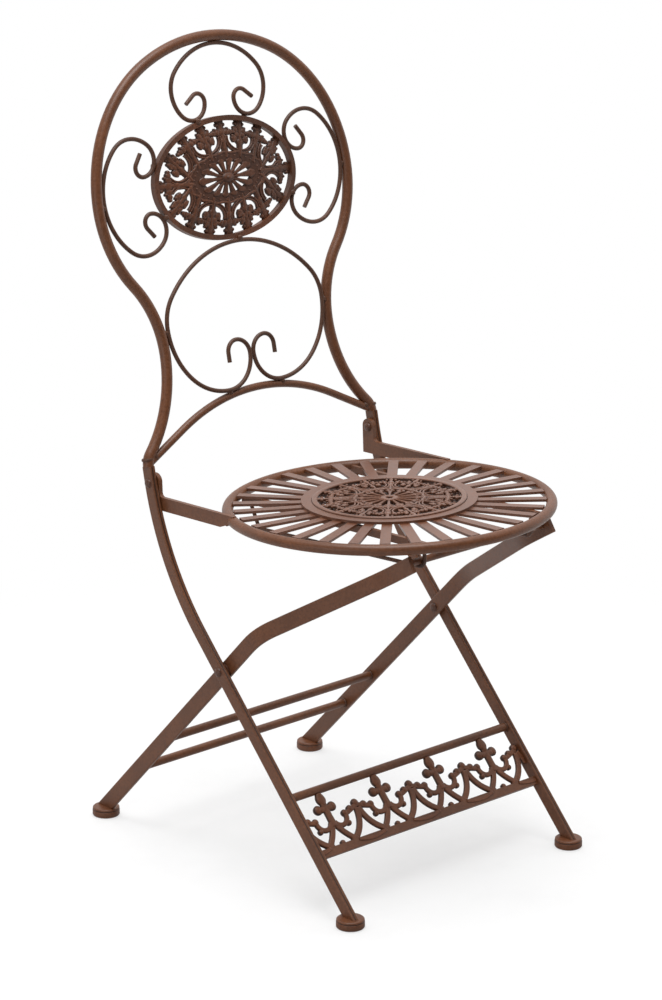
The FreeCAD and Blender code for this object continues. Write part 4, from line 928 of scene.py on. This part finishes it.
def rodWelds(body):
    # a ring round both ends of each rod, whose radius is half the height of the rod's box
    parts = []
    for node in welds[body]["rods"]:
        low, high = (np.array(corner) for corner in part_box(node))
        middle = (low + high) / 2
        radius, inset = 1000 * (high[2] - low[2]) / 2, rodWeld["inset"] / 1000
        for x in (low[0] + inset, high[0] - inset):
            spot = (x, middle[1], middle[2])
            parts.append(weldRing(spot, (0, 1, 0), (0, 0, 1), radius, rodWeld["half"], rodWeld["bulge"]))
    return parts


def hipCollars():
    # rings round the hoop's ends, square to the back's up line
    sizes = hipCollar["radius"], hipCollar["half"], hipCollar["bulge"]
    spots = [np.array([side * frontLeg["x"], hipCollar["rise"]]) for side in (-1, 1)]
    return [weldRing(lifted(backPlane, spot, 0.0), backPlane[1], -backPlane[3], *sizes) for spot in spots]


for body in welds:
    weldParts = joinWelds(body) + rodWelds(body)
    if body == "frame":
        weldParts += hipCollars()
    makePiece(body + "_welds", weldParts, paints["painted_wire"], body)

# floor and studio: from near to far the floor's white goes from shadowless to full, away points from the camera
# to the chair, and gloss gives the places along it between which the ground turns white in reflections
stage = {
    "size": 14.0, "near": 0.45, "far": 1.05, "shadowless": 0.55, "gloss": (-0.15, 0.5),
    "floor": 0.86, "floorWorn": 0.80, "floorMirrored": 0.48,
    "scuffs": (7.0, 6.0, 0.7), "wornRange": (0.45, 0.75), "away": (0.677, 0.736, 0.0),
}
studio = {
    "front": 0.10, "behind": 1.0, "above": 0.40, "behindRange": (-0.3, 0.5), "aboveRange": (0.35, 0.95),
    "gloss": (0.0, 0.6),
}
pureWhite = (1, 1, 1, 1)


def awayShare(tree, place, start, stop, low=0.0, high=1.0):
    # smooth step from low to high along the line from the camera to the chair
    inputs = {0: place, 1: stage["away"]}
    away = addNode(tree, "ShaderNodeVectorMath", inputs, operation="DOT_PRODUCT").outputs["Value"]
    return rangeNode(tree, away, start, stop, low, high, "SMOOTHSTEP")


def whiteShare(tree, place, start, stop):
    # how white the ground shows: wholly to the camera and through glass, in gloss only behind the chair
    seen = addNode(tree, "ShaderNodeLightPath").outputs
    gloss = mathNode(tree, "MULTIPLY", awayShare(tree, place, start, stop), seen["Is Glossy Ray"])
    straight = mathNode(tree, "MAXIMUM", seen["Is Camera Ray"], seen["Is Transmission Ray"])
    return mathNode(tree, "MAXIMUM", straight, gloss)


def floorPaint():
    # matt white with faint scuffs, which fades to plain white away from the chair
    material = bpy.data.materials.new("floor_white")
    material.use_nodes = True
    tree = material.node_tree
    tree.nodes.clear()
    place = addNode(tree, "ShaderNodeTexCoord").outputs["Object"]
    scuffs = noiseNode(tree, place, *stage["scuffs"])
    worn = rangeNode(tree, scuffs, *stage["wornRange"], stage["floor"], stage["floorWorn"])
    distance = addNode(tree, "ShaderNodeVectorMath", {0: place}, operation="LENGTH").outputs["Value"]
    faded = rangeNode(tree, distance, stage["near"], stage["far"], stage["shadowless"], 1.0, "SMOOTHSTEP")
    shown = whiteShare(tree, place, *stage["gloss"])
    share = mathNode(tree, "MULTIPLY", faded, shown)
    mirrored = addNode(tree, "ShaderNodeMix", {0: shown, 2: stage["floorMirrored"], 3: worn})
    matt = addNode(tree, "ShaderNodeBsdfDiffuse", {"Color": mirrored.outputs[0]})
    white = addNode(tree, "ShaderNodeEmission", {"Color": pureWhite, "Strength": 1.0})
    blend = addNode(tree, "ShaderNodeMixShader", {0: share, 1: matt.outputs[0], 2: white.outputs[0]})
    addNode(tree, "ShaderNodeOutputMaterial", {"Surface": blend.outputs[0]})
    return material


floorMesh = bpy.data.meshes.new("floor")
half = stage["size"] / 2
corners = [(-half, -half, 0), (half, -half, 0), (half, half, 0), (-half, half, 0)]
floorMesh.from_pydata(corners, [], [(0, 1, 2, 3)])
floorMesh.materials.append(floorPaint())
floor = bpy.data.objects.new("floor", floorMesh)
scene.collection.objects.link(floor)


def studioWorld():
    # dim towards the camera, bright behind the chair, with a paler top; plain white to the camera
    world = bpy.data.worlds.new("studio")
    world.use_nodes = True
    tree = world.node_tree
    tree.nodes.clear()
    sky = addNode(tree, "ShaderNodeTexCoord").outputs["Generated"]
    behind = awayShare(tree, sky, *studio["behindRange"], studio["front"], studio["behind"])
    height = addNode(tree, "ShaderNodeSeparateXYZ", {0: sky}).outputs["Z"]
    above = rangeNode(tree, height, *studio["aboveRange"], 0.0, studio["above"])
    level = mathNode(tree, "ADD", behind, above)
    lit = addNode(tree, "ShaderNodeBackground", {"Color": pureWhite, "Strength": level})
    plain = addNode(tree, "ShaderNodeBackground", {"Color": pureWhite, "Strength": 1.0})
    shown = whiteShare(tree, sky, *studio["gloss"])
    blend = addNode(tree, "ShaderNodeMixShader", {0: shown, 1: lit.outputs[0], 2: plain.outputs[0]})
    addNode(tree, "ShaderNodeOutputWorld", {"Surface": blend.outputs[0]})
    return world


scene.world = studioWorld()

# soft lamps: sizes in metres, power in watts
lamps = {
    "overhead": {"place": (-0.4, -0.4, 5.0), "aim": (0, 0, 0.4), "size": 3.2, "power": 172.0},
    "front_box": {"place": (-3.0, -0.5, 0.5), "aim": (0, 0, 0.2), "size": 2.4, "power": 23.0},
}


def softLamp(name, place, aim, size, power):
    # disc lamp at a place, turned to its aim
    lamp = bpy.data.lights.new(name, "AREA")
    lamp.shape = "DISK"
    lamp.size = size
    lamp.energy = power
    holder = bpy.data.objects.new(name, lamp)
    scene.collection.objects.link(holder)
    holder.location = place
    holder.rotation_mode = "QUATERNION"
    holder.rotation_quaternion = (Vector(aim) - Vector(place)).to_track_quat("-Z", "Y")


for name, lamp in lamps.items():
    softLamp(name, **lamp)

# the photo's view: place in metres, turn about upright, height of the line of sight and roll
view = {
    "place": (-2.8624, -3.08005, 1.7343), "azimuth": math.radians(-42.6445), "height": math.radians(17.3293),
    "roll": math.radians(0.195), "lens": 90.76, "sensor": 24.0, "clipEnd": 60,
}


def photoCamera():
    # camera whose axes are worked out from azimuth and height, then rolled about its line of sight
    lens = bpy.data.cameras.new("camera")
    lens.sensor_width = view["sensor"]
    lens.lens = view["lens"]
    lens.clip_end = view["clipEnd"]
    camera = bpy.data.objects.new("camera", lens)
    scene.collection.objects.link(camera)
    azimuth, height, roll = view["azimuth"], view["height"], view["roll"]
    right = Vector((math.cos(azimuth), math.sin(azimuth), 0))
    level = math.cos(height)
    back = Vector((math.sin(azimuth) * level, -math.cos(azimuth) * level, math.sin(height)))
    up = back.cross(right)
    rolledRight = math.cos(roll) * right + math.sin(roll) * up
    rolledUp = math.cos(roll) * up - math.sin(roll) * right
    turned = Matrix((rolledRight, rolledUp, back)).transposed().to_4x4()
    camera.matrix_world = Matrix.Translation(view["place"]) @ turned
    return camera


scene.camera = photoCamera()
scene.view_settings.view_transform = "Standard"
print("stage and camera set")
